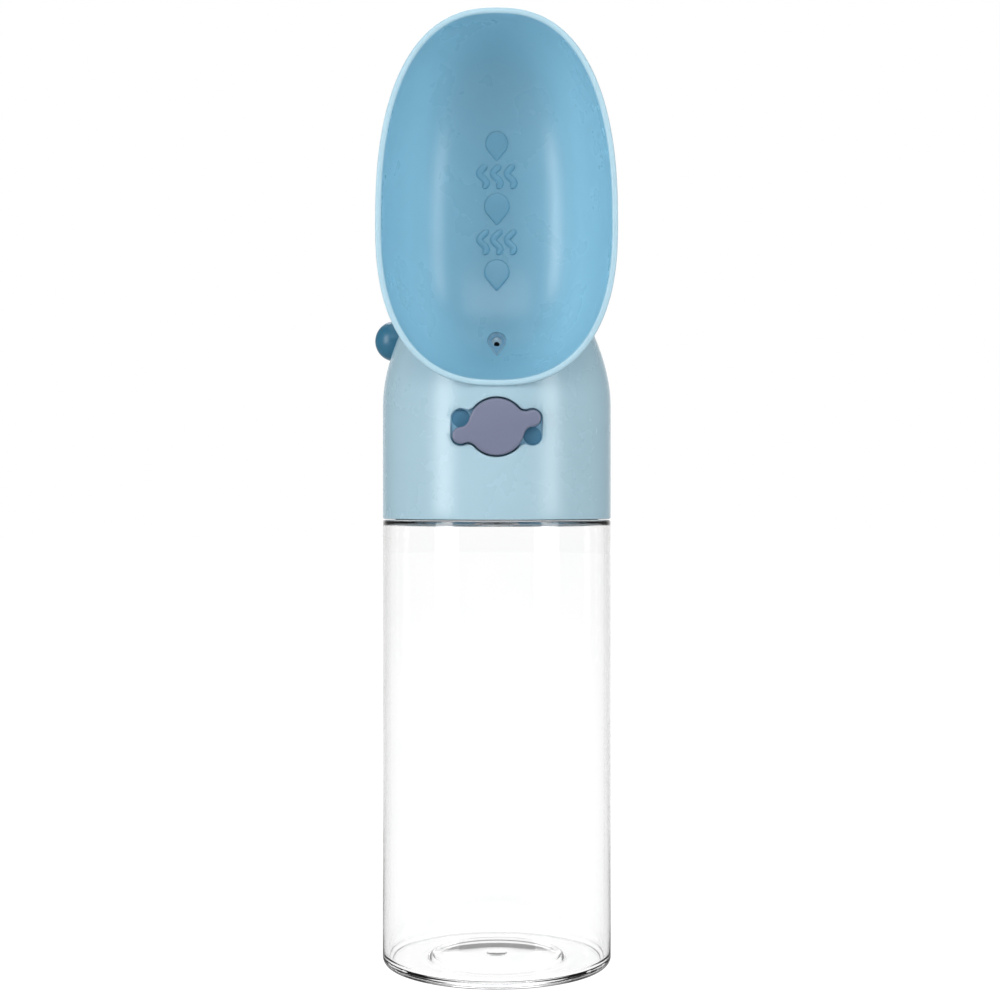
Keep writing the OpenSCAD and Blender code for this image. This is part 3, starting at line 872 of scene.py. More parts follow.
@dataclass(frozen=True)
class HeadForm:
    """The curves of the head's one moulding: a round neck that flows into the scoop's back."""

    bottle_r: float = 33.0
    wall: float = 2.2
    seam_z: float = 128.6
    blend_z: float = 161.0
    blend_h: float = 67.0
    blend_w: float = 22.0
    neck_sink: float = 1.2
    hollow_share: float = 0.78
    scoop_z: float = 209.2
    scoop_w: float = 66.2
    scoop_up: float = 59.0
    scoop_down: float = 44.0
    bowl_depth: float = 36.0
    rim_wall: float = 1.6
    floor_wall: float = 2.2
    rim_power: float = 2.43
    bowl_power: float = 2.6
    rim_y: float = -34.0
    rim_round: float = 0.6
    sides: int = 128

    def blend(self, z: float) -> float:
        """Share of the round neck in the section at a height."""
        turn = math.pi * min(max((z - self.blend_z) / self.blend_h, 0.0), 1.0)
        return (1 + math.cos(turn)) / 2

    def half(self, z: float) -> float:
        """Half of the neck's width at a height."""
        return self.blend_w / 2 + (self.bottle_r - self.blend_w / 2) * self.blend(z)

    def back(self, z: float) -> float:
        """Distance of the neck's back from the axis at a height."""
        end = self.rim_y + self.bowl_depth + self.floor_wall - self.neck_sink
        return end + (self.bottle_r - end) * self.blend(z)

    def neck_ring(self, z: float, inset: float) -> list[Point]:
        """Outline of the neck at a height, drawn in by an amount.

        Args:
            z: The height.
            inset: Amount by which the outline is drawn in.

        Returns:
            The ring's points, from the right side round.
        """
        half, back = self.half(z) - inset, self.back(z) - inset
        turns = (math.tau * i / self.sides for i in range(self.sides))
        return [
            (half * math.cos(a), (back if math.sin(a) > 0 else half) * math.sin(a), z)
            for a in turns
        ]

    def neck_x(self, y: float, z: float) -> float:
        """Place along X of the neck's left wall."""
        depth = self.back(z) if y > 0 else self.half(z)
        return -self.half(z) * math.sqrt(max(1 - (y / depth) ** 2, 0.0))

    def rim_ring(self, share: float, depth: float, grow: float) -> list[Point]:
        """Outline of the scoop at a depth behind its rim.

        Args:
            share: Size as a share of the rim's.
            depth: Distance behind the rim.
            grow: Amount by which the rim's outline is grown first.

        Returns:
            The ring's points, from the scoop's right side round.
        """
        ring = []
        for i in range(self.sides):
            a = math.tau * i / self.sides
            tall = self.scoop_up if math.sin(a) > 0 else self.scoop_down
            ring.append(
                (
                    (self.scoop_w / 2 + grow) * share * spow(math.cos(a), 2 / self.rim_power),
                    self.rim_y + depth,
                    self.scoop_z + (tall + grow) * share * spow(math.sin(a), 2 / self.rim_power),
                )
            )
        return ring

    def bowl_rings(self, depth: float, grow: float, steps: int = 44) -> list[list[Point]]:
        """Rings of the bowl from just behind its rim to the middle of its floor.

        Args:
            depth: Depth of the floor behind the rim.
            grow: Amount by which the rim's outline is grown first.
            steps: Number of rings.

        Returns:
            The rings, the widest first.
        """
        rings, power, last = [], 2 / self.bowl_power, 0.02
        for i in range(1, steps + 1):
            a = math.pi / 2 * i / steps
            share = math.cos(a) ** power if i < steps else last
            rings.append(self.rim_ring(share, depth * math.sin(a) ** power, grow))
        return rings

    def scoop_share(self, x: float, z: float, grow: float) -> float:
        """Size of the scoop's outline through a point, as a share of the rim's.

        Args:
            x: The point's place along X.
            z: The point's height.
            grow: Amount by which the rim's outline is grown first.

        Returns:
            The share, 1 on the outline itself.
        """
        tall = self.scoop_up if z > self.scoop_z else self.scoop_down
        across = abs(x) / (self.scoop_w / 2 + grow)
        up = abs(z - self.scoop_z) / (tall + grow)
        return (across**self.rim_power + up**self.rim_power) ** (1 / self.rim_power)

    def bowl_y(self, x: float, z: float) -> float:
        """Place along Y of the bowl's inner surface."""
        share = min(self.scoop_share(x, z, -self.rim_wall), 1.0)
        return self.rim_y + self.bowl_depth * (1 - share**self.bowl_power) ** (1 / self.bowl_power)


@dataclass
class Lock:
    """The lock knob on the front, the recess that it turns in and the soft studs in its floor."""

    form: HeadForm
    shop: Workshop
    axis_z: float = 154.0
    knob_r: float = 7.8
    ear_r: float = 2.3
    ear_reach: float = 10.1
    ear_fillet: float = 2.6
    angle: float = 27.0
    gap: float = 0.45
    recess_y: float = -29.8
    pad_y: float = -27.4
    knob_t: float = 3.3
    knob_edge: float = 0.7
    rim_round: float = 0.4
    stud_r: float = 2.6
    stud_sink: float = 0.12
    stud_end: float = -26.2
    sheet_front: float = -27.38
    sheet_back: float = -25.92
    shaft_hole_r: float = 3.25
    pad_wall: float = 1.6
    foot: float = 0.25

    def quarter(self, grow: float, swing: float) -> list[Flat]:
        """A quarter of the eared outline, from its ear's side to the top of its disc.

        Args:
            grow: Amount by which the outline is grown.
            swing: Angle in degrees by which the ear is raised.

        Returns:
            The points of the ear's arc, the fillet and the disc's arc.
        """
        r, e, f, d = (
            self.knob_r + grow,
            self.ear_r + grow,
            self.ear_fillet - grow,
            self.ear_reach,
        )
        turn = math.degrees(
            math.acos(((r + f) ** 2 + d * d - (e + f) ** 2) / (2 * (r + f) * d))
        )
        bend = math.degrees(
            math.acos(((e + f) ** 2 + d * d - (r + f) ** 2) / (2 * (e + f) * d))
        )
        up = math.radians(swing)
        ear = (d * math.cos(up), d * math.sin(up))
        hollow = math.radians(swing + turn)
        fillet = ((r + f) * math.cos(hollow), (r + f) * math.sin(hollow))
        return (
            arc(ear, e, 0, swing + 180 - bend, 14)
            + arc(fillet, f, swing - bend, swing + turn - 180, 8)[1:-1]
            + arc((0, 0), r, swing + turn, 90, 14)
        )

    def recess_outline(self, grow: float) -> list[Flat]:
        """Outline of the recess, which holds the knob in both of its places.

        Args:
            grow: Amount by which the outline is grown.

        Returns:
            The points round the lock's axis, as (x, z).
        """
        right = self.quarter(self.gap + grow, self.angle / 2)
        left = [(-x, z) for x, z in reversed(right[:-1])]
        top = right + left
        return top + [(-x, -z) for x, z in top]

    def knob_outline(self, shrink: float) -> list[Flat]:
        """Outline of the knob, turned to its locked place.

        Args:
            shrink: Amount by which the outline is drawn in.

        Returns:
            The points round the lock's axis, as (x, z).
        """
        upper = self.quarter(-shrink, 0)
        lower = [(x, -z) for x, z in reversed(upper[1:-1])]
        side = lower + upper
        ring = side + [(-x, -z) for x, z in side]
        turn = math.radians(self.angle / 2)
        return [
            (x * math.cos(turn) - z * math.sin(turn), x * math.sin(turn) + z * math.cos(turn))
            for x, z in ring
        ]

    def front_y(self, x: float) -> float:
        """Place along Y of the head's round front."""
        return -math.sqrt(self.form.bottle_r**2 - x * x)

    def recess_cutter(self) -> bpy.types.Object:
        """The tool that sinks the recess, flared so that the recess gets a rounded rim.

        Returns:
            The closed tool.
        """

        def flat(grow: float, y: float) -> list[Point]:
            """One flat ring at a place along Y."""
            return [(x, y, self.axis_z + z) for x, z in self.recess_outline(grow)]

        def ring(grow: float, below: float) -> list[Point]:
            """One ring at a depth below the head's own round front."""
            return [(x, self.front_y(x) + below, z) for x, _, z in flat(grow, 0.0)]

        corner, outside = 0.15, -38.0
        inner = [flat(-corner, self.recess_y), flat(0.0, self.recess_y - corner)]
        outer = flat(self.rim_round + Bench.lip_clear, outside)
        return Bench.flared("recess_cutter", inner, ring, outer, self.rim_round)

    def pad(self) -> bpy.types.Object:
        """The thick pad of the head's wall that the recess is sunk into.

        Returns:
            The closed pad, which ends just inside the wall.
        """
        outline, outside = self.recess_outline(self.pad_wall), -33.5
        rings = [[(x, y, self.axis_z + z) for x, z in outline] for y in (self.pad_y, outside)]
        pad = Bench.loft("pad", rings, fan=False)
        room = rod(self.form.bottle_r - 0.8, 120, 200)
        inside = Bench.turned("inside", room, Axis.Z, steps=self.form.sides)
        Bench.combine(pad, inside, "INTERSECT")
        return pad

    def make_knob(self) -> None:
        """Models the knob: a disc with two ears, a rounded edge and a flat face."""
        back, front = self.recess_y - self.gap, self.recess_y - self.gap - self.knob_t

        def ring(shrink: float, y: float) -> list[Point]:
            """One ring of the knob."""
            return [(x, y, self.axis_z + z) for x, z in self.knob_outline(shrink)]

        rings = [ring(self.foot, back), ring(0.0, back - self.foot)]
        rings += [ring(out, front + down) for out, down in lip(self.knob_edge, 5)]
        knob = Bench.loft("knob", rings, fan=False)
        Bench.smooth(knob, 40)
        self.shop.seat(knob, "lock", "knob_lilac", [Finish.KNOB], ["lock_knob"])

    def make_studs(self) -> None:
        """Models the soft gasket behind the recess, whose studs stand in the recess floor."""
        lobes = []
        for side in (0, 180):
            for swing in (-1, 1):
                a = math.radians(side + swing * self.angle / 2)
                across, up = self.ear_reach * math.cos(a), self.ear_reach * math.sin(a)
                centre = (across, 0.0, self.axis_z + up)
                face, edge, r = self.recess_y - self.stud_sink, 0.35, self.stud_r
                profile = [(0.0, face), *arc((r - edge, face + edge), edge, -90, 0, 4)]
                profile += [(r, self.stud_end), (0.0, self.stud_end)]
                lobes.append(Bench.turned("stud", profile, Axis.Y, centre, 48))
        outline, sheet = self.recess_outline(0.6), (self.sheet_front, self.sheet_back)
        rings = [[(x, y, self.axis_z + z) for x, z in outline] for y in sheet]
        gasket = Bench.loft("gasket_sheet", rings, fan=False)
        bore = rod(self.shaft_hole_r, -40, -20)
        hole = Bench.turned("hole", bore, Axis.Y, (0, 0, self.axis_z), 64)
        Bench.combine(gasket, hole, "DIFFERENCE")
        gasket = Bench.join("lock_studs", [gasket, *lobes])
        Bench.smooth(gasket, 35)
        self.shop.seat(gasket, "head", "teal", [Finish.STUD], ["lock_gasket"])


@dataclass
class PressButton:
    """The domed button on the head's left side."""

    form: HeadForm
    shop: Workshop
    axis_y: float = 6.54
    axis_z: float = 180.6
    radius: float = 5.9
    bore_r: float = 5.95
    dome_x: float = -29.82
    flange_x: float = -20.47
    flange_t: float = 1.4
    flange_r: float = 6.9
    rim_round: float = 0.35
    guide_r: float = 7.4
    guide_x: float = -31.0
    groove_r: float = 4.75
    groove_w: float = 1.4
    groove_back: float = 2.2

    def bore_cutter(self) -> bpy.types.Object:
        """The tool that bores the button's hole, flared at the head's surface.

        Returns:
            The closed tool.
        """

        def flat(grow: float, x: float) -> list[Point]:
            """One flat ring at a place along X."""
            ring = arc((self.axis_y, self.axis_z), self.bore_r + grow, 1, 361, 96)[:-1]
            return [(x, y, z) for y, z in ring]

        def ring(grow: float, below: float) -> list[Point]:
            """One ring at a depth below the neck's own wall."""
            return [(self.form.neck_x(y, z) + below, y, z) for _, y, z in flat(grow, 0.0)]

        past, outside = 1.0, -40.0
        outer = flat(self.rim_round + Bench.lip_clear, outside)
        inner = [flat(0.0, self.flange_x + past)]
        return Bench.flared("bore_cutter", inner, ring, outer, self.rim_round)

    def guide(self) -> bpy.types.Object:
        """The short tube inside the head that guides the button.

        Returns:
            The closed solid that the bore is cut into later.
        """
        profile = rod(self.guide_r, self.guide_x, self.flange_x)
        guide = Bench.turned("guide", profile, Axis.X, (0, self.axis_y, self.axis_z), 96)
        rings = [self.form.neck_ring(z, self.form.wall / 2) for z in range(150, 216, 3)]
        Bench.combine(guide, Bench.loft("inside", rings), "INTERSECT")
        return guide

    def make_dome(self) -> None:
        """Models the button: a dome, a straight side with a ring groove, and a flange inside."""
        base = self.dome_x
        profile = [(0.0, base - self.radius)]
        profile += [(r, x) for x, r in arc((base, 0), self.radius, 176, 90, 22)]
        groove, half, end = (
            self.flange_x - self.groove_back,
            self.groove_w / 2,
            self.flange_x + self.flange_t,
        )
        profile += [(self.radius, groove - half), (self.groove_r, groove - half)]
        profile += [(self.groove_r, groove + half), (self.radius, groove + half)]
        profile += [(self.radius, self.flange_x), (self.flange_r, self.flange_x)]
        profile += [(self.flange_r, end), (0.0, end)]
        dome = Bench.turned("button_dome", profile, Axis.X, (0, self.axis_y, self.axis_z), 96)
        Bench.smooth(dome, 35)
        self.shop.seat(dome, "button", "teal", [Finish.TEAL], ["release_button"])


@dataclass
class Head:
    """The head's moulding: scoop, neck, recess, button bore, outlet and thread."""

    form: HeadForm
    shop: Workshop
    lock: Lock
    button: PressButton
    outlet_z: float = 179.8
    outlet_r: float = 2.7
    outlet_tip: float = 4.6
    outlet_round: float = 0.3
    hole_sink: float = 0.9
    hole_share: float = 0.3
    lower_edge: float = 0.35
    overlap: float = 0.7

    def scoop(self) -> bpy.types.Object:
        """The scoop's shell, drawn in one run from its outer floor over the rim to the bowl's floor.

        Returns:
            The closed shell.
        """
        form, edge = self.form, self.form.rim_round
        rings = form.bowl_rings(form.bowl_depth + form.floor_wall, 0.0)[::-1]
        rings += [form.rim_ring(1.0, down, -out) for out, down in lip(edge, 5)]
        inner = form.rim_wall
        rings += [form.rim_ring(1.0, out, down - inner) for out, down in lip(edge, 5)]
        rings += form.bowl_rings(form.bowl_depth, -form.rim_wall)
        return Bench.loft("scoop", rings)

    def plug(self) -> bpy.types.Object:
        """The scoop's outside as a solid, drawn in so that the neck overlaps the scoop's wall.

        Returns:
            The closed solid.
        """
        form, sunk = self.form, self.overlap
        depth = form.bowl_depth + form.floor_wall - sunk
        rings = [form.rim_ring(1.0, sunk, -sunk)]
        return Bench.loft("plug", rings + form.bowl_rings(depth, -sunk))

    def neck(self) -> bpy.types.Object:
        """The neck's shell, with its lower edge rounded, ended just inside the scoop's wall.

        Returns:
            The closed shell.
        """
        form, low, edge = self.form, self.form.seam_z, self.lower_edge
        step, steps = 4, 40
        rings = []
        for up, inset in lip(edge, 4):
            rings.append([(x, y, low + up) for x, y, _ in form.neck_ring(low, inset)])
        rings += [form.neck_ring(low + step * i, 0.0) for i in range(1, 8)]
        rings += [
            form.neck_ring(form.blend_z + form.blend_h * i / steps, 0.0) for i in range(steps + 1)
        ]
        neck = Bench.loft("neck", rings)
        hollow_h, steps = form.blend_h * form.hollow_share, 30
        rings = [form.neck_ring(low - 2, form.wall)]
        rings += [
            form.neck_ring(form.blend_z + hollow_h * i / steps, form.wall)
            for i in range(steps + 1)
        ]
        Bench.combine(neck, Bench.loft("hollow", rings), "DIFFERENCE")
        return neck

    def outlet_cutter(self) -> bpy.types.Object:
        """The tool that cuts the drop-shaped outlet, flared at the bowl's surface.

        Returns:
            The closed tool.
        """

        def flat(grow: float, y: float) -> list[Point]:
            """One flat ring at a place along Y.

            Args:
                grow: Amount by which the drop's radius is grown.
                y: Place along Y.

            Returns:
                The ring's points.
            """
            share = (self.outlet_r + grow) / self.outlet_r
            ring = drop(self.outlet_r * share, self.outlet_tip * share)
            return [(x, y, self.outlet_z + up) for x, up in ring]

        def ring(grow: float, below: float) -> list[Point]:
            """One ring at a depth below the bowl's own surface."""
            return [(x, self.form.bowl_y(x, z) + below, z) for x, _, z in flat(grow, 0.0)]

        def throat(share: float, below: float, sink: float, y: float | None = None) -> list[Point]:
            """One ring of the funnel that narrows to the hole, below the surface or at a fixed Y.

            Args:
                share: Size as a share of the outlet's.
                below: Depth below the bowl's surface.
                sink: Amount by which the ring lies lower than the outlet.
                y: Place along Y, in place of the depth.

            Returns:
                The ring's points.
            """
            points = []
            for x, up in drop(self.outlet_r * share, self.outlet_tip * share, 0.25 * share):
                z = self.outlet_z - sink + up
                points.append((x, self.form.bowl_y(x, z) + below if y is None else y, z))
            return points

        inside, outside = 6.5, -20.0
        funnel = (
            (self.hole_share, 1.75, 1.0), (0.6, 1.55, 0.55), (0.84, 1.1, 0.2), (0.97, 0.6, 0.03)
        )
        inner = [throat(self.hole_share, 0.0, self.hole_sink, inside)]
        for share, below, drawn in funnel:
            inner.append(throat(share, below, self.hole_sink * drawn))
        outer = flat(self.outlet_round + Bench.lip_clear, outside)
        return Bench.flared("outlet_cutter", inner, ring, outer, self.outlet_round)

    def make(self) -> None:
        """Models the moulding from its shells and tools, and dresses it by zone, with painted shade in
        the bowl and the recess and a painted highlight on the rim.
        """
        neck = self.neck()
        Bench.combine(neck, self.lock.pad(), "UNION")
        Bench.combine(neck, self.button.guide(), "UNION")
        Bench.combine(neck, self.plug(), "DIFFERENCE")
        head = self.scoop()
        Bench.combine(head, neck, "UNION")
        Bench.combine(head, self.lock.recess_cutter(), "DIFFERENCE")
        Bench.combine(head, self.button.bore_cutter(), "DIFFERENCE")
        Bench.combine(head, self.outlet_cutter(), "DIFFERENCE")
        Bench.heal(head, 4 * Bench.cut_reach)
        head.name = head.data.name = "head_moulding"
        Bench.smooth(head, 38)
        # The bowl, rim and recess finishes are copies of the head's one plastic with painted shade and
        # a painted highlight.
        self.shop.seat(
            head,
            "head",
            "head_blue",
            [Finish.OUTSIDE, Finish.BOWL, Finish.RIM, Finish.INNER],
            ["head_shell"],
        )
        self.zone(head)

    def zone(self, head: bpy.types.Object) -> None:
        """Numbers the faces of the bowl, of its rim and of the lock's recess: the bowl and the recess
        get painted shade, the rim a painted highlight.

        Args:
            head: The finished moulding.
        """
        form, lock, recess_reach = self.form, self.lock, 13.5
        for face in head.data.polygons:
            x, y, z = (c / MM for c in face.center)
            near = math.hypot(x, z - lock.axis_z) < recess_reach
            # Painted shade: the recess floor gets the darker inner blue.
            if near and abs(y - lock.recess_y) < 0.2:
                face.material_index = 3
            if z < form.scoop_z - form.scoop_down - 1:
                continue
            share = form.scoop_share(x, z, 0.0)
            # Painted highlight: the rim's faces get the lightened rim blue.
            if y < form.rim_y + form.rim_round and share > 0.9:
                face.material_index = 2
            # Painted shade: the bowl's faces get the deepened bowl blue.
            elif y < form.bowl_y(x, z) + 0.35 and form.scoop_share(x, z, -form.rim_wall) < 1.004:
                face.material_index = 1


@dataclass
class Relief:
    """Drops and wave lines raised on the floor of the scoop.

    Each drop is given by its middle's height, its radius and the reach of its point, and each
    group of waves by its lowest and highest ends.
    """

    form: HeadForm
    shop: Workshop
    drops: tuple[Point, ...] = ((200.4, 3.7, 5.7), (219.6, 3.7, 5.7), (237.4, 3.3, 5.1))
    waves: tuple[Flat, ...] = ((205.6, 212.8), (224.8, 231.4))
    wave_x: float = 4.0
    height: float = 0.62
    sunk: float = 0.3
    line_w: float = 1.0
    swing: float = 1.0
    wave: float = 5.6

    def raised_drop(self, centre_z: float, radius: float, tip: float) -> bpy.types.Object:
        """One raised drop with soft edges, its point down.

        Args:
            centre_z: Height of the drop's middle.
            radius: Radius of its round part.
            tip: Distance of its point from that middle.

        Returns:
            The closed drop.
        """
        rings = []
        for shrink, up in ((0, -0.75), (0, 0.3), (0.1, 0.75), (0.28, 1.0), (0.6, 1.05)):
            share = 1 - shrink / radius
            ring = []
            for x, z in drop(radius * share, tip * share, 0.5, 28):
                z += centre_z
                ring.append((x, self.form.bowl_y(x, z) - up * self.height, z))
            rings.append(ring)
        return Bench.loft("drop", rings)

    def wave_line(self, middle_x: float, low: float, high: float) -> bpy.types.Object:
        """One raised wave line that runs up the floor, rounded at both ends.

        Args:
            middle_x: Place along X of the line's middle.
            low: Height of its lower end.
            high: Height of its upper end.

        Returns:
            The closed line.
        """
        steps, rings = 48, []
        for i in range(steps + 1):
            z = low + (high - low) * i / steps
            turn = math.tau * (z - low) / self.wave
            x = middle_x + self.swing * math.sin(turn)
            slope = self.swing * math.cos(turn) * math.tau / self.wave
            side = (1 / math.hypot(1, slope), -slope / math.hypot(1, slope))
            end = min(i, steps - i) / steps * (high - low) / self.line_w
            share = max(math.sqrt(1 - (1 - min(end, 1)) ** 2), 0.15)
            ring = []
            for k in range(10):
                a = math.tau * k / 10
                out = self.line_w * share * spow(math.cos(a), 0.7)
                up = (self.height if math.sin(a) > 0 else self.sunk) * math.sin(a)
                px, pz = x + out * side[0], z + out * side[1]
                ring.append((px, self.form.bowl_y(px, pz) - up, pz))
            rings.append(ring)
        return Bench.loft("wave", rings)

    def make(self) -> None:
        """Models the whole relief as one piece."""
        pieces = [self.raised_drop(*sizes) for sizes in self.drops]
        for low, high in self.waves:
            pieces += [self.wave_line(side * self.wave_x, low, high) for side in (-1, 0, 1)]
        relief = Bench.join("floor_relief", pieces)
        Bench.smooth(relief, 50)
        # Painted shade: the relief is the head's plastic in a darkened copy.
        self.shop.seat(relief, "head", "head_blue", [Finish.RELIEF])


# The bottle


@dataclass(frozen=True)
class ScrewThread:
    """The thread between bottle and head, of which each has one side."""

    pitch: float = 4.0
    turns: float = 1.45
    fade: float = 0.12
    start_z: float = 131.1
    root: float = 0.15

    def make(self, name: str, wall: float, rise: float) -> bpy.types.Object:
        """Models one side of the thread.

        Args:
            name: Name of the new piece.
            wall: Radius of the wall that it stands on.
            rise: Height of the ridge above the wall, less than zero where it points inwards.

        Returns:
            The thread, its root sunk into the wall.
        """
        root = wall - math.copysign(self.root, rise)
        section = ((root, -1.15), (wall + rise * 0.85, -0.5), (wall + rise, -0.3))
        ridge = [(r, self.start_z + h) for r, h in section]
        ridge += [(r, self.start_z - h) for r, h in reversed(section)]
        return Bench.thread(name, ridge, self.pitch, self.turns, self.fade)


@dataclass
class Bottle:
    """The clear bottle: a straight wall, a raised base panel and a threaded neck."""

    shop: Workshop
    radius: float = 33.0
    wall: float = 1.7
    shoulder_z: float = 128.3
    neck_r: float = 29.2
    neck_bore_r: float = 27.6
    neck_top: float = 138.6
    panel_r: float = 18.6
    panel_rise: float = 1.4
    corner_r: float = 2.2
    gate_r: float = 2.6
    gate_h: float = 0.4

    def profile(self) -> list[Flat]:
        """The bottle's section, from the middle of its base round to the middle of its floor.

        Returns:
            The points as (radius, height).
        """
        r, rise = self.radius, self.panel_rise
        step = self.panel_r + rise
        inner = r - self.wall
        floor = self.wall + 0.3
        gate, mark, edge, blunt = self.gate_r, rise - self.gate_h, 0.25, 0.12
        points = [(0.0, mark), (gate, mark), *arc((gate, mark + edge), edge, -90, 0, 3)]
        points += [(gate + self.gate_h, rise), (self.panel_r - 0.4, rise)]
        points += [(self.panel_r, rise - blunt), (step - 0.3, blunt), (step + 0.3, 0.0)]
        points += [(step + 3.0, 0.0)]
        points += arc((r - self.corner_r, self.corner_r), self.corner_r, -90, 0, 10)
        # Rings on the straight walls keep their shading even.
        points += [(r, z) for z in (12.0, 40.0, 70.0, 100.0, 122.0)]
        points += arc((r - 0.6, self.shoulder_z - 0.6), 0.6, 0, 90, 6)
        points += [(self.neck_r + 0.4, self.shoulder_z)]
        points += arc((self.neck_r + 0.4, self.shoulder_z + 0.4), 0.4, 270, 180, 4)
        points += arc((self.neck_r - 0.5, self.neck_top - 0.5), 0.5, 0, 90, 4)
        points += arc((self.neck_bore_r + 0.4, self.neck_top - 0.4), 0.4, 90, 180, 4)
        points += [(self.neck_bore_r, self.shoulder_z)]
        points += arc((inner - 0.7, self.shoulder_z - 1.7), 0.7, 88, 0, 6)
        points += [(inner, z) for z in (118.0, 96.0, 66.0, 36.0, 12.0)]
        points += arc((inner - 1.8, floor + 1.8), 1.8, 0, -90, 8)
        points += [(step + 1.0, floor), (step, floor + 0.1), (self.panel_r, rise + self.wall - 0.1)]
        points += [(self.panel_r - 1.0, rise + self.wall), (0.0, rise + self.wall)]
        return points

    def make(self) -> None:
        """Models the bottle and its thread."""
        bottle = Bench.turned("bottle_clear", self.profile(), Axis.Z, steps=160)
        thread = ScrewThread().make("bottle_thread", self.neck_r, 1.0)
        Bench.combine(bottle, thread, "UNION")
        Bench.smooth(bottle, 30)
        self.shop.seat(bottle, "bottle", "clear_plastic", [Finish.CLEAR], ["bottle"])


@dataclass
class Spring:
    """The return spring behind the button's valve, with its end turns closed."""

    button: PressButton
    shop: Workshop
    low: float = 7.2
    high: float = 15.53
    radius: float = 4.0
    wire: float = 0.39
    turns: float = 5.5
    travel: float = 4.0
    play: float = 0.02
    end_turn: float = 0.75

    def make(self) -> None:
        """Models the wire along its helix."""
        count = round(self.turns * 36)
        first, last = self.low + self.wire + self.play, self.high - self.wire - self.play
        closed = 2 * self.wire * 1.02
        rings = []
        for i in range(count + 1):
            turn = self.turns * i / count
            middle = min(max((turn - self.end_turn) / (self.turns - 2 * self.end_turn), 0.0), 1.0)
            ends = min(turn, self.end_turn) + max(turn - self.turns + self.end_turn, 0.0)
            x = first + ends * closed + middle * (last - first - 2 * self.end_turn * closed)
            a = math.tau * turn
            ring = []
            for k in range(12):
                b = math.tau * k / 12
                reach = self.radius + self.wire * math.cos(b)
                ring.append(
                    (
                        x + self.wire * math.sin(b),
                        self.button.axis_y + reach * math.cos(a),
                        self.button.axis_z + reach * math.sin(a),
                    )
                )
            rings.append(ring)
        spring = Bench.loft("coil_spring", rings)
        Bench.smooth(spring, 50)
        self.shop.seat(spring, "head", "steel", [Finish.STEEL], ["return_spring"])
        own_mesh(spring)


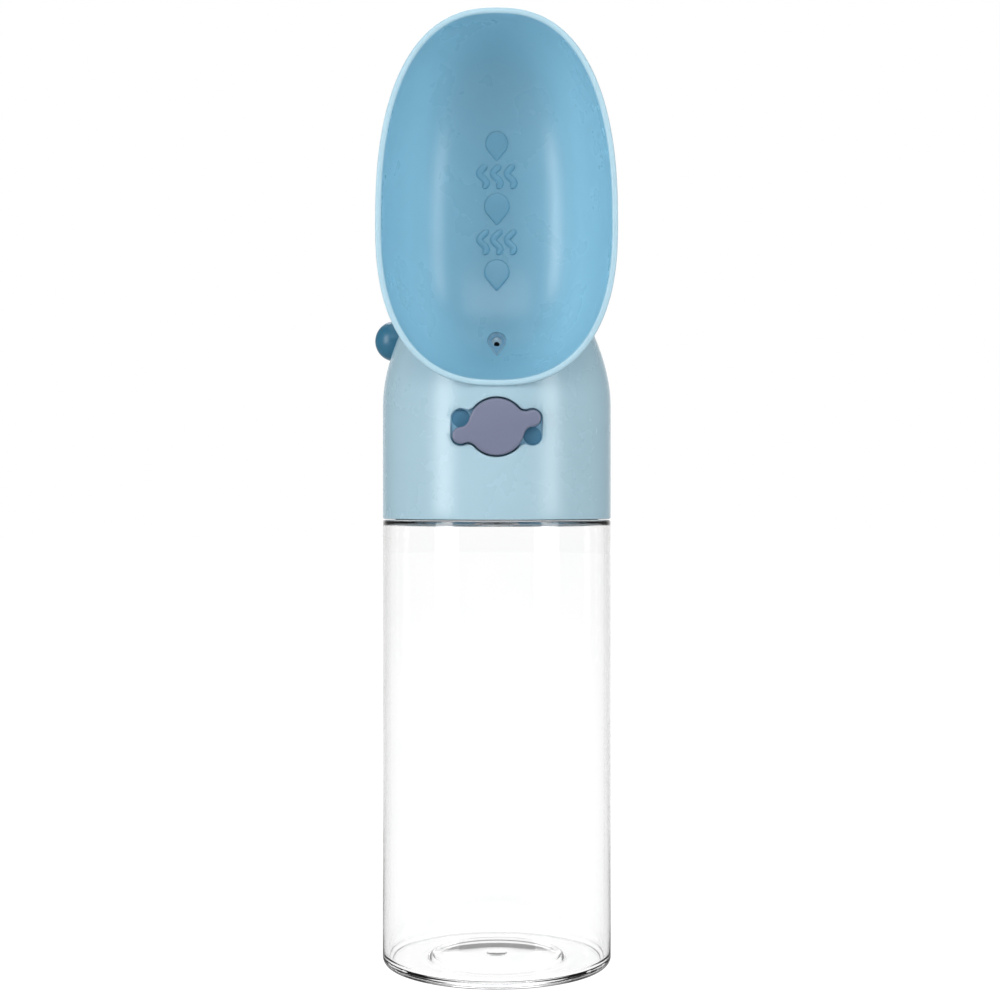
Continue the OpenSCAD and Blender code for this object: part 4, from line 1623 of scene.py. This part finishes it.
@dataclass
class Underside:
    """What shows through the bottle from below: washer, deck, screws, strainer and vent valve."""

    bottle: Bottle
    shop: Workshop
    deck_z: float = 140.6
    deck_t: float = 2.5
    port_y: float = -15.5
    vent_y: float = 14.0
    screw_reach: float = 24.0
    skirt_r: float = 30.8

    def washer(self) -> None:
        """The soft washer on the bottle's neck."""
        low, high, edge = self.bottle.neck_top, self.deck_z, 0.3
        inner, outer = self.bottle.neck_bore_r, self.bottle.neck_r
        profile = arc((outer - edge, low + edge), edge, -90, 0, 4)
        profile += arc((outer - edge, high - edge), edge, 0, 90, 4)
        profile += arc((inner + edge, high - edge), edge, 90, 180, 4)
        profile += arc((inner + edge, low + edge), edge, 180, 270, 4)
        ring = Bench.turned("soft_washer", profile, Axis.Z, steps=128, closed=True)
        Bench.smooth(ring, 40)
        self.shop.seat(ring, "washer", "soft_white", [Finish.SOFT_WHITE], ["neck_washer"])

    def deck(self) -> None:
        """The deck that closes the head below, with a shallow ring groove in its lower face."""
        low, high, r, edge = self.deck_z, self.deck_z + self.deck_t, 30.4, 0.3
        start, end, slope, sunk = 26.2, 27.7, 0.4, 0.25
        profile = [(0.0, low), (start, low), (start + slope, low + sunk)]
        profile += [(end - slope, low + sunk), (end, low), (r - edge, low), (r, low + edge)]
        profile += [(r, high - edge), (r - edge, high), (0.0, high)]
        deck = Bench.turned("deck_plate", profile, Axis.Z, steps=128)
        for y, hole_r in ((self.port_y, 3.25), (self.vent_y, 2.45)):
            hole = Bench.turned("hole", rod(hole_r, low - 1, high + 1), Axis.Z, (0, y, 0), 48)
            Bench.combine(deck, hole, "DIFFERENCE")
        Bench.smooth(deck, 30)
        self.shop.seat(deck, "head", "inner_blue", [Finish.INNER], ["valve_deck"])

    def screws(self) -> None:
        """Four screws with domed heads and six-sided sockets, modelled once and copied."""
        low, r, shank, tip = self.deck_z, 2.3, 1.2, self.deck_z + 10.0
        profile = [(0.0, low - 1.5), (1.6, low - 1.5), (2.05, low - 1.2), (r, low - 0.6), (r, low)]
        profile += [(shank, low), (shank, tip - 0.6), (0.8, tip), (0.0, tip)]
        screw = Bench.turned("screw", profile, Axis.Z, steps=40)
        socket = [(0, low - 3), (0.9, low - 3), (0.9, low - 0.6), (0, low - 0.5)]
        Bench.combine(screw, Bench.turned("socket", socket, Axis.Z, steps=6), "DIFFERENCE")
        screws = []
        for degrees in (45, 135, 225, 315):
            copy = screw.copy()
            copy.data = screw.data.copy()
            bpy.context.collection.objects.link(copy)
            Bench.take(copy)
            reach, a = self.screw_reach * MM, math.radians(degrees)
            bpy.ops.transform.translate(value=(reach * math.cos(a), reach * math.sin(a), 0))
            Bench.settle()
            screws.append(copy)
        bpy.data.objects.remove(screw, do_unlink=True)
        four = Bench.join("deck_screw_set", screws)
        Bench.smooth(four, 30)
        self.shop.seat(four, "head", "steel", [Finish.STEEL], ["deck_screws"])

    def strainer(self) -> None:
        """The slotted cup over the inlet, with rounded edges."""
        top, base, r, wall = self.deck_z, self.deck_z - 8.0, 6.0, 1.0
        profile = [(0.0, base), *arc((r - 0.7, base + 0.7), 0.7, -90, 0, 5), (r, top - 1.2)]
        profile += [(7.3, top - 1.2), (7.5, top - 1.0), (7.5, top), (3.2, top), (3.2, top + 2.5)]
        profile += [(2.2, top + 2.5), (2.2, top - 1.2), (r - wall, top - 1.2)]
        profile += [*arc((r - wall - 0.6, base + wall + 0.6), 0.6, 0, -90, 4), (0.0, base + wall)]
        cup = Bench.turned("strainer_cup", profile, Axis.Z, (0, self.port_y, 0), 96)
        for degrees in range(0, 180, 45):
            slot = Bench.block("slot", (-7, -0.7, base + 2.0), (7, 0.7, top - 2.4))
            Bench.take(slot)
            bpy.ops.transform.rotate(
                value=math.radians(degrees), orient_axis="Z", center_override=ORIGIN
            )
            bpy.ops.transform.translate(value=(0, self.port_y * MM, 0))
            Bench.settle()
            Bench.combine(cup, slot, "DIFFERENCE")
        Bench.soften(cup, 0.12, 2, 50)
        Bench.smooth(cup, 40)
        self.shop.seat(cup, "head", "white_plastic", [Finish.WHITE], ["inlet_strainer"])

    def vent(self) -> None:
        """The duckbill valve that lets air back in."""
        low, top = self.deck_z, self.deck_z + self.deck_t
        rim, neck, lips = 3.9, 2.4, 0.5
        rings = []
        for z, r in (
            (top + 1.0, rim - 0.3), (top + 0.8, rim), (top, rim), (top, neck), (low, neck),
            (low, rim), (low - 0.8, rim), (low - 1.0, rim - 0.3), (low - 1.0, neck),
        ):
            rings.append([(x, self.vent_y + y, z) for x, y in arc((0, 0), r, 0, 360, 48)[:-1]])
        for share in (0.25, 0.5, 0.75, 0.95, 1.0):
            flat = neck + (lips - neck) * math.sin(math.pi / 2 * share)
            half = neck if share < 1 else neck - 0.1
            ring = arc((0, 0), 1.0, 0, 360, 48)[:-1]
            z = low - 1.0 - 5.0 * share
            rings.append([(x * half, self.vent_y + y * flat, z) for x, y in ring])
        valve = Bench.loft("duckbill", rings)
        half, gap, y = 1.9, 0.06, self.vent_y
        slit = Bench.block("slit", (-half, y - gap, low - 7), (half, y + gap, low - 4))
        Bench.combine(valve, slit, "DIFFERENCE")
        Bench.smooth(valve, 35)
        self.shop.seat(valve, "head", "soft_white", [Finish.SOFT_WHITE], ["vent_valve"])

    def skirt_thread(self) -> None:
        """The thread inside the head's skirt, which meshes with the bottle's."""
        thread = ScrewThread().make("skirt_thread", self.skirt_r, -0.95)
        Bench.take(thread)
        bpy.ops.transform.rotate(value=math.pi, orient_axis="Z", center_override=ORIGIN)
        Bench.settle()
        Bench.smooth(thread, 35)
        self.shop.seat(thread, "head", "head_blue", [Finish.OUTSIDE])

    def make(self) -> None:
        """Models every piece."""
        self.washer()
        self.deck()
        self.screws()
        self.strainer()
        self.vent()
        self.skirt_thread()


# Studio


@dataclass(frozen=True)
class Softbox:
    """One area lamp: its place, width and height in metres, its power in watts, and its aim."""

    name: str
    place: Point
    size: Flat
    power: float
    aim_z: float = 0.15

    def add(self) -> None:
        """Adds the lamp, turned to face its aim on the bottle's axis."""
        Bench.clear()
        bpy.ops.object.light_add(type="AREA", location=self.place)
        lamp = bpy.context.object
        lamp.name = self.name
        lamp.data.shape = "RECTANGLE"
        lamp.data.size, lamp.data.size_y = self.size
        lamp.data.energy = self.power
        x, y, z = self.place
        tilt = math.atan2(math.hypot(x, y), z - self.aim_z)
        lamp.rotation_euler = (tilt, 0.0, math.atan2(x, -y))


LAMPS = (
    Softbox("left_softbox", (-0.727, -0.548, 0.22), (0.3, 0.9), 5.4, 0.17),
    Softbox("right_softbox", (0.736, -0.535, 0.22), (0.3, 0.9), 4.0, 0.17),
    Softbox("front_fill", (0.0, -1.15, 0.85), (1.0, 0.6), 4.2),
    Softbox("back_fill", (0.0, 0.95, 1.05), (1.0, 0.5), 6.0),
    Softbox("top_fill", (0.0, -0.1, 1.1), (0.8, 0.8), 2.0),
)


@dataclass(frozen=True)
class Studio:
    """Floor, world, lamps and camera."""

    lens: float = 67.2
    distance: float = 0.542
    height: float = 0.134
    aside: float = 0.00093
    plain: float = 0.28
    aside_level: float = 0.15
    ahead_from: float = 0.8
    floor_glow: float = 1.12
    floor_share: float = 0.9
    floor_size: float = 12.0
    floor_gap: float = 0.0001

    def make_world(self) -> None:
        """White behind the object, and a plain level of light on it."""
        world = bpy.data.worlds.new("studio")
        bpy.context.scene.world = world
        world.use_nodes = True
        paint = Paint(world.node_tree)
        direction = paint.wire("ShaderNodeTexCoord", {}, {}, "Generated")
        seen, glossy, through = self.rays(paint)
        level = (self.mirrored(paint, direction) * glossy).most(seen).most(through)
        white, plain = (
            paint.wire("ShaderNodeBackground", {}, {"Color": WHITE_LIGHT, "Strength": strength})
            for strength in (level, self.plain)
        )
        share = seen.most(glossy).most(through)
        mixed = paint.wire("ShaderNodeMixShader", {}, {0: share, 1: plain, 2: white})
        paint.node("ShaderNodeOutputWorld", {}, {"Surface": mixed})

    def rays(self, paint: Paint) -> list[Wire]:
        """Whether a ray comes from the camera, from a gloss or through glass.

        Args:
            paint: The node tree.

        Returns:
            The three tests, in that order, each 1 where it holds.
        """
        path = paint.node("ShaderNodeLightPath", {}, {})
        kinds = ("Camera", "Glossy", "Transmission")
        return [Wire(paint, path.outputs[f"Is {kind} Ray"]) for kind in kinds]

    def mirrored(self, paint: Paint, direction: Wire) -> Wire:
        """Brightness of the background that a gloss shows: white ahead, and dim to the sides.

        Args:
            paint: The node tree.
            direction: Unit vector from the object to the background.

        Returns:
            The strength, 1 for white.
        """
        ahead = paint.axis(direction, "Y").ramp(self.ahead_from, 1.0)
        return 1 - (1 - ahead) * (1 - self.aside_level)

    def make_floor(self) -> None:
        """A pale floor that looks white and keeps a soft shadow."""
        Bench.clear()
        bpy.ops.mesh.primitive_plane_add(size=self.floor_size, location=(0, 0, -self.floor_gap))
        floor = bpy.context.object
        floor.name = "floor"
        material, paint = new_paint("floor")
        seen, glossy, through = self.rays(paint)
        plain = paint.wire("ShaderNodeBsdfDiffuse", {}, {"Color": (0.8, 0.8, 0.8, 1.0)})
        outwards = paint.wire(
            "ShaderNodeVectorMath", {"operation": "NORMALIZE"}, {0: paint.place()}
        )
        level = (self.mirrored(paint, outwards) * glossy).most(seen).most(through)
        glow = paint.wire(
            "ShaderNodeEmission", {}, {"Color": WHITE_LIGHT, "Strength": level * self.floor_glow}
        )
        share = seen.most(glossy).most(through) * self.floor_share
        mixed = paint.wire("ShaderNodeMixShader", {}, {0: share, 1: plain, 2: glow})
        paint.node("ShaderNodeOutputMaterial", {}, {"Surface": mixed})
        floor.data.materials.append(material)

    def make(self) -> None:
        """Sets up the whole studio."""
        self.make_world()
        self.make_floor()
        for lamp in LAMPS:
            lamp.add()
        bpy.ops.object.camera_add(
            location=(self.aside, -self.distance, self.height), rotation=(math.pi / 2, 0, 0)
        )
        camera = bpy.context.object
        camera.name = "camera"
        camera.data.lens = self.lens
        camera.data.sensor_width = 36.0
        camera.data.clip_start = 0.01
        bpy.context.scene.camera = camera
        bpy.context.scene.view_settings.view_transform = "Standard"


NODE_FINISHES = {
    "valve_body": Finish.INNER,
    "shutoff_rotor": Finish.WHITE,
    "rotor_front_ring": Finish.SEAL,
    "rotor_rear_ring": Finish.SEAL,
    "rotor_cover": Finish.INNER,
    "rotor_clip": Finish.STEEL,
    "button_ring": Finish.SEAL,
    "valve_stem": Finish.WHITE,
    "stem_ring": Finish.SEAL,
    "poppet_seal": Finish.SEAL,
    "spring_cap": Finish.INNER,
}


def main() -> None:
    """Builds the studio and every piece, in order."""
    logging.basicConfig(level=logging.INFO, format="%(message)s")
    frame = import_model()
    Studio().make()
    shop = Workshop()
    form = HeadForm()
    lock = Lock(form, shop)
    button = PressButton(form, shop)
    Head(form, shop, lock, button).make()
    lock.make_knob()
    lock.make_studs()
    button.make_dome()
    Relief(form, shop).make()
    Spring(button, shop).make()
    bottle = Bottle(shop)
    bottle.make()
    Underside(bottle, shop).make()
    for name, finish in NODE_FINISHES.items():
        shop.dress_node(frame["nodes"][name], finish)
    Bench.clear()


if __name__ == "__main__":
    main()
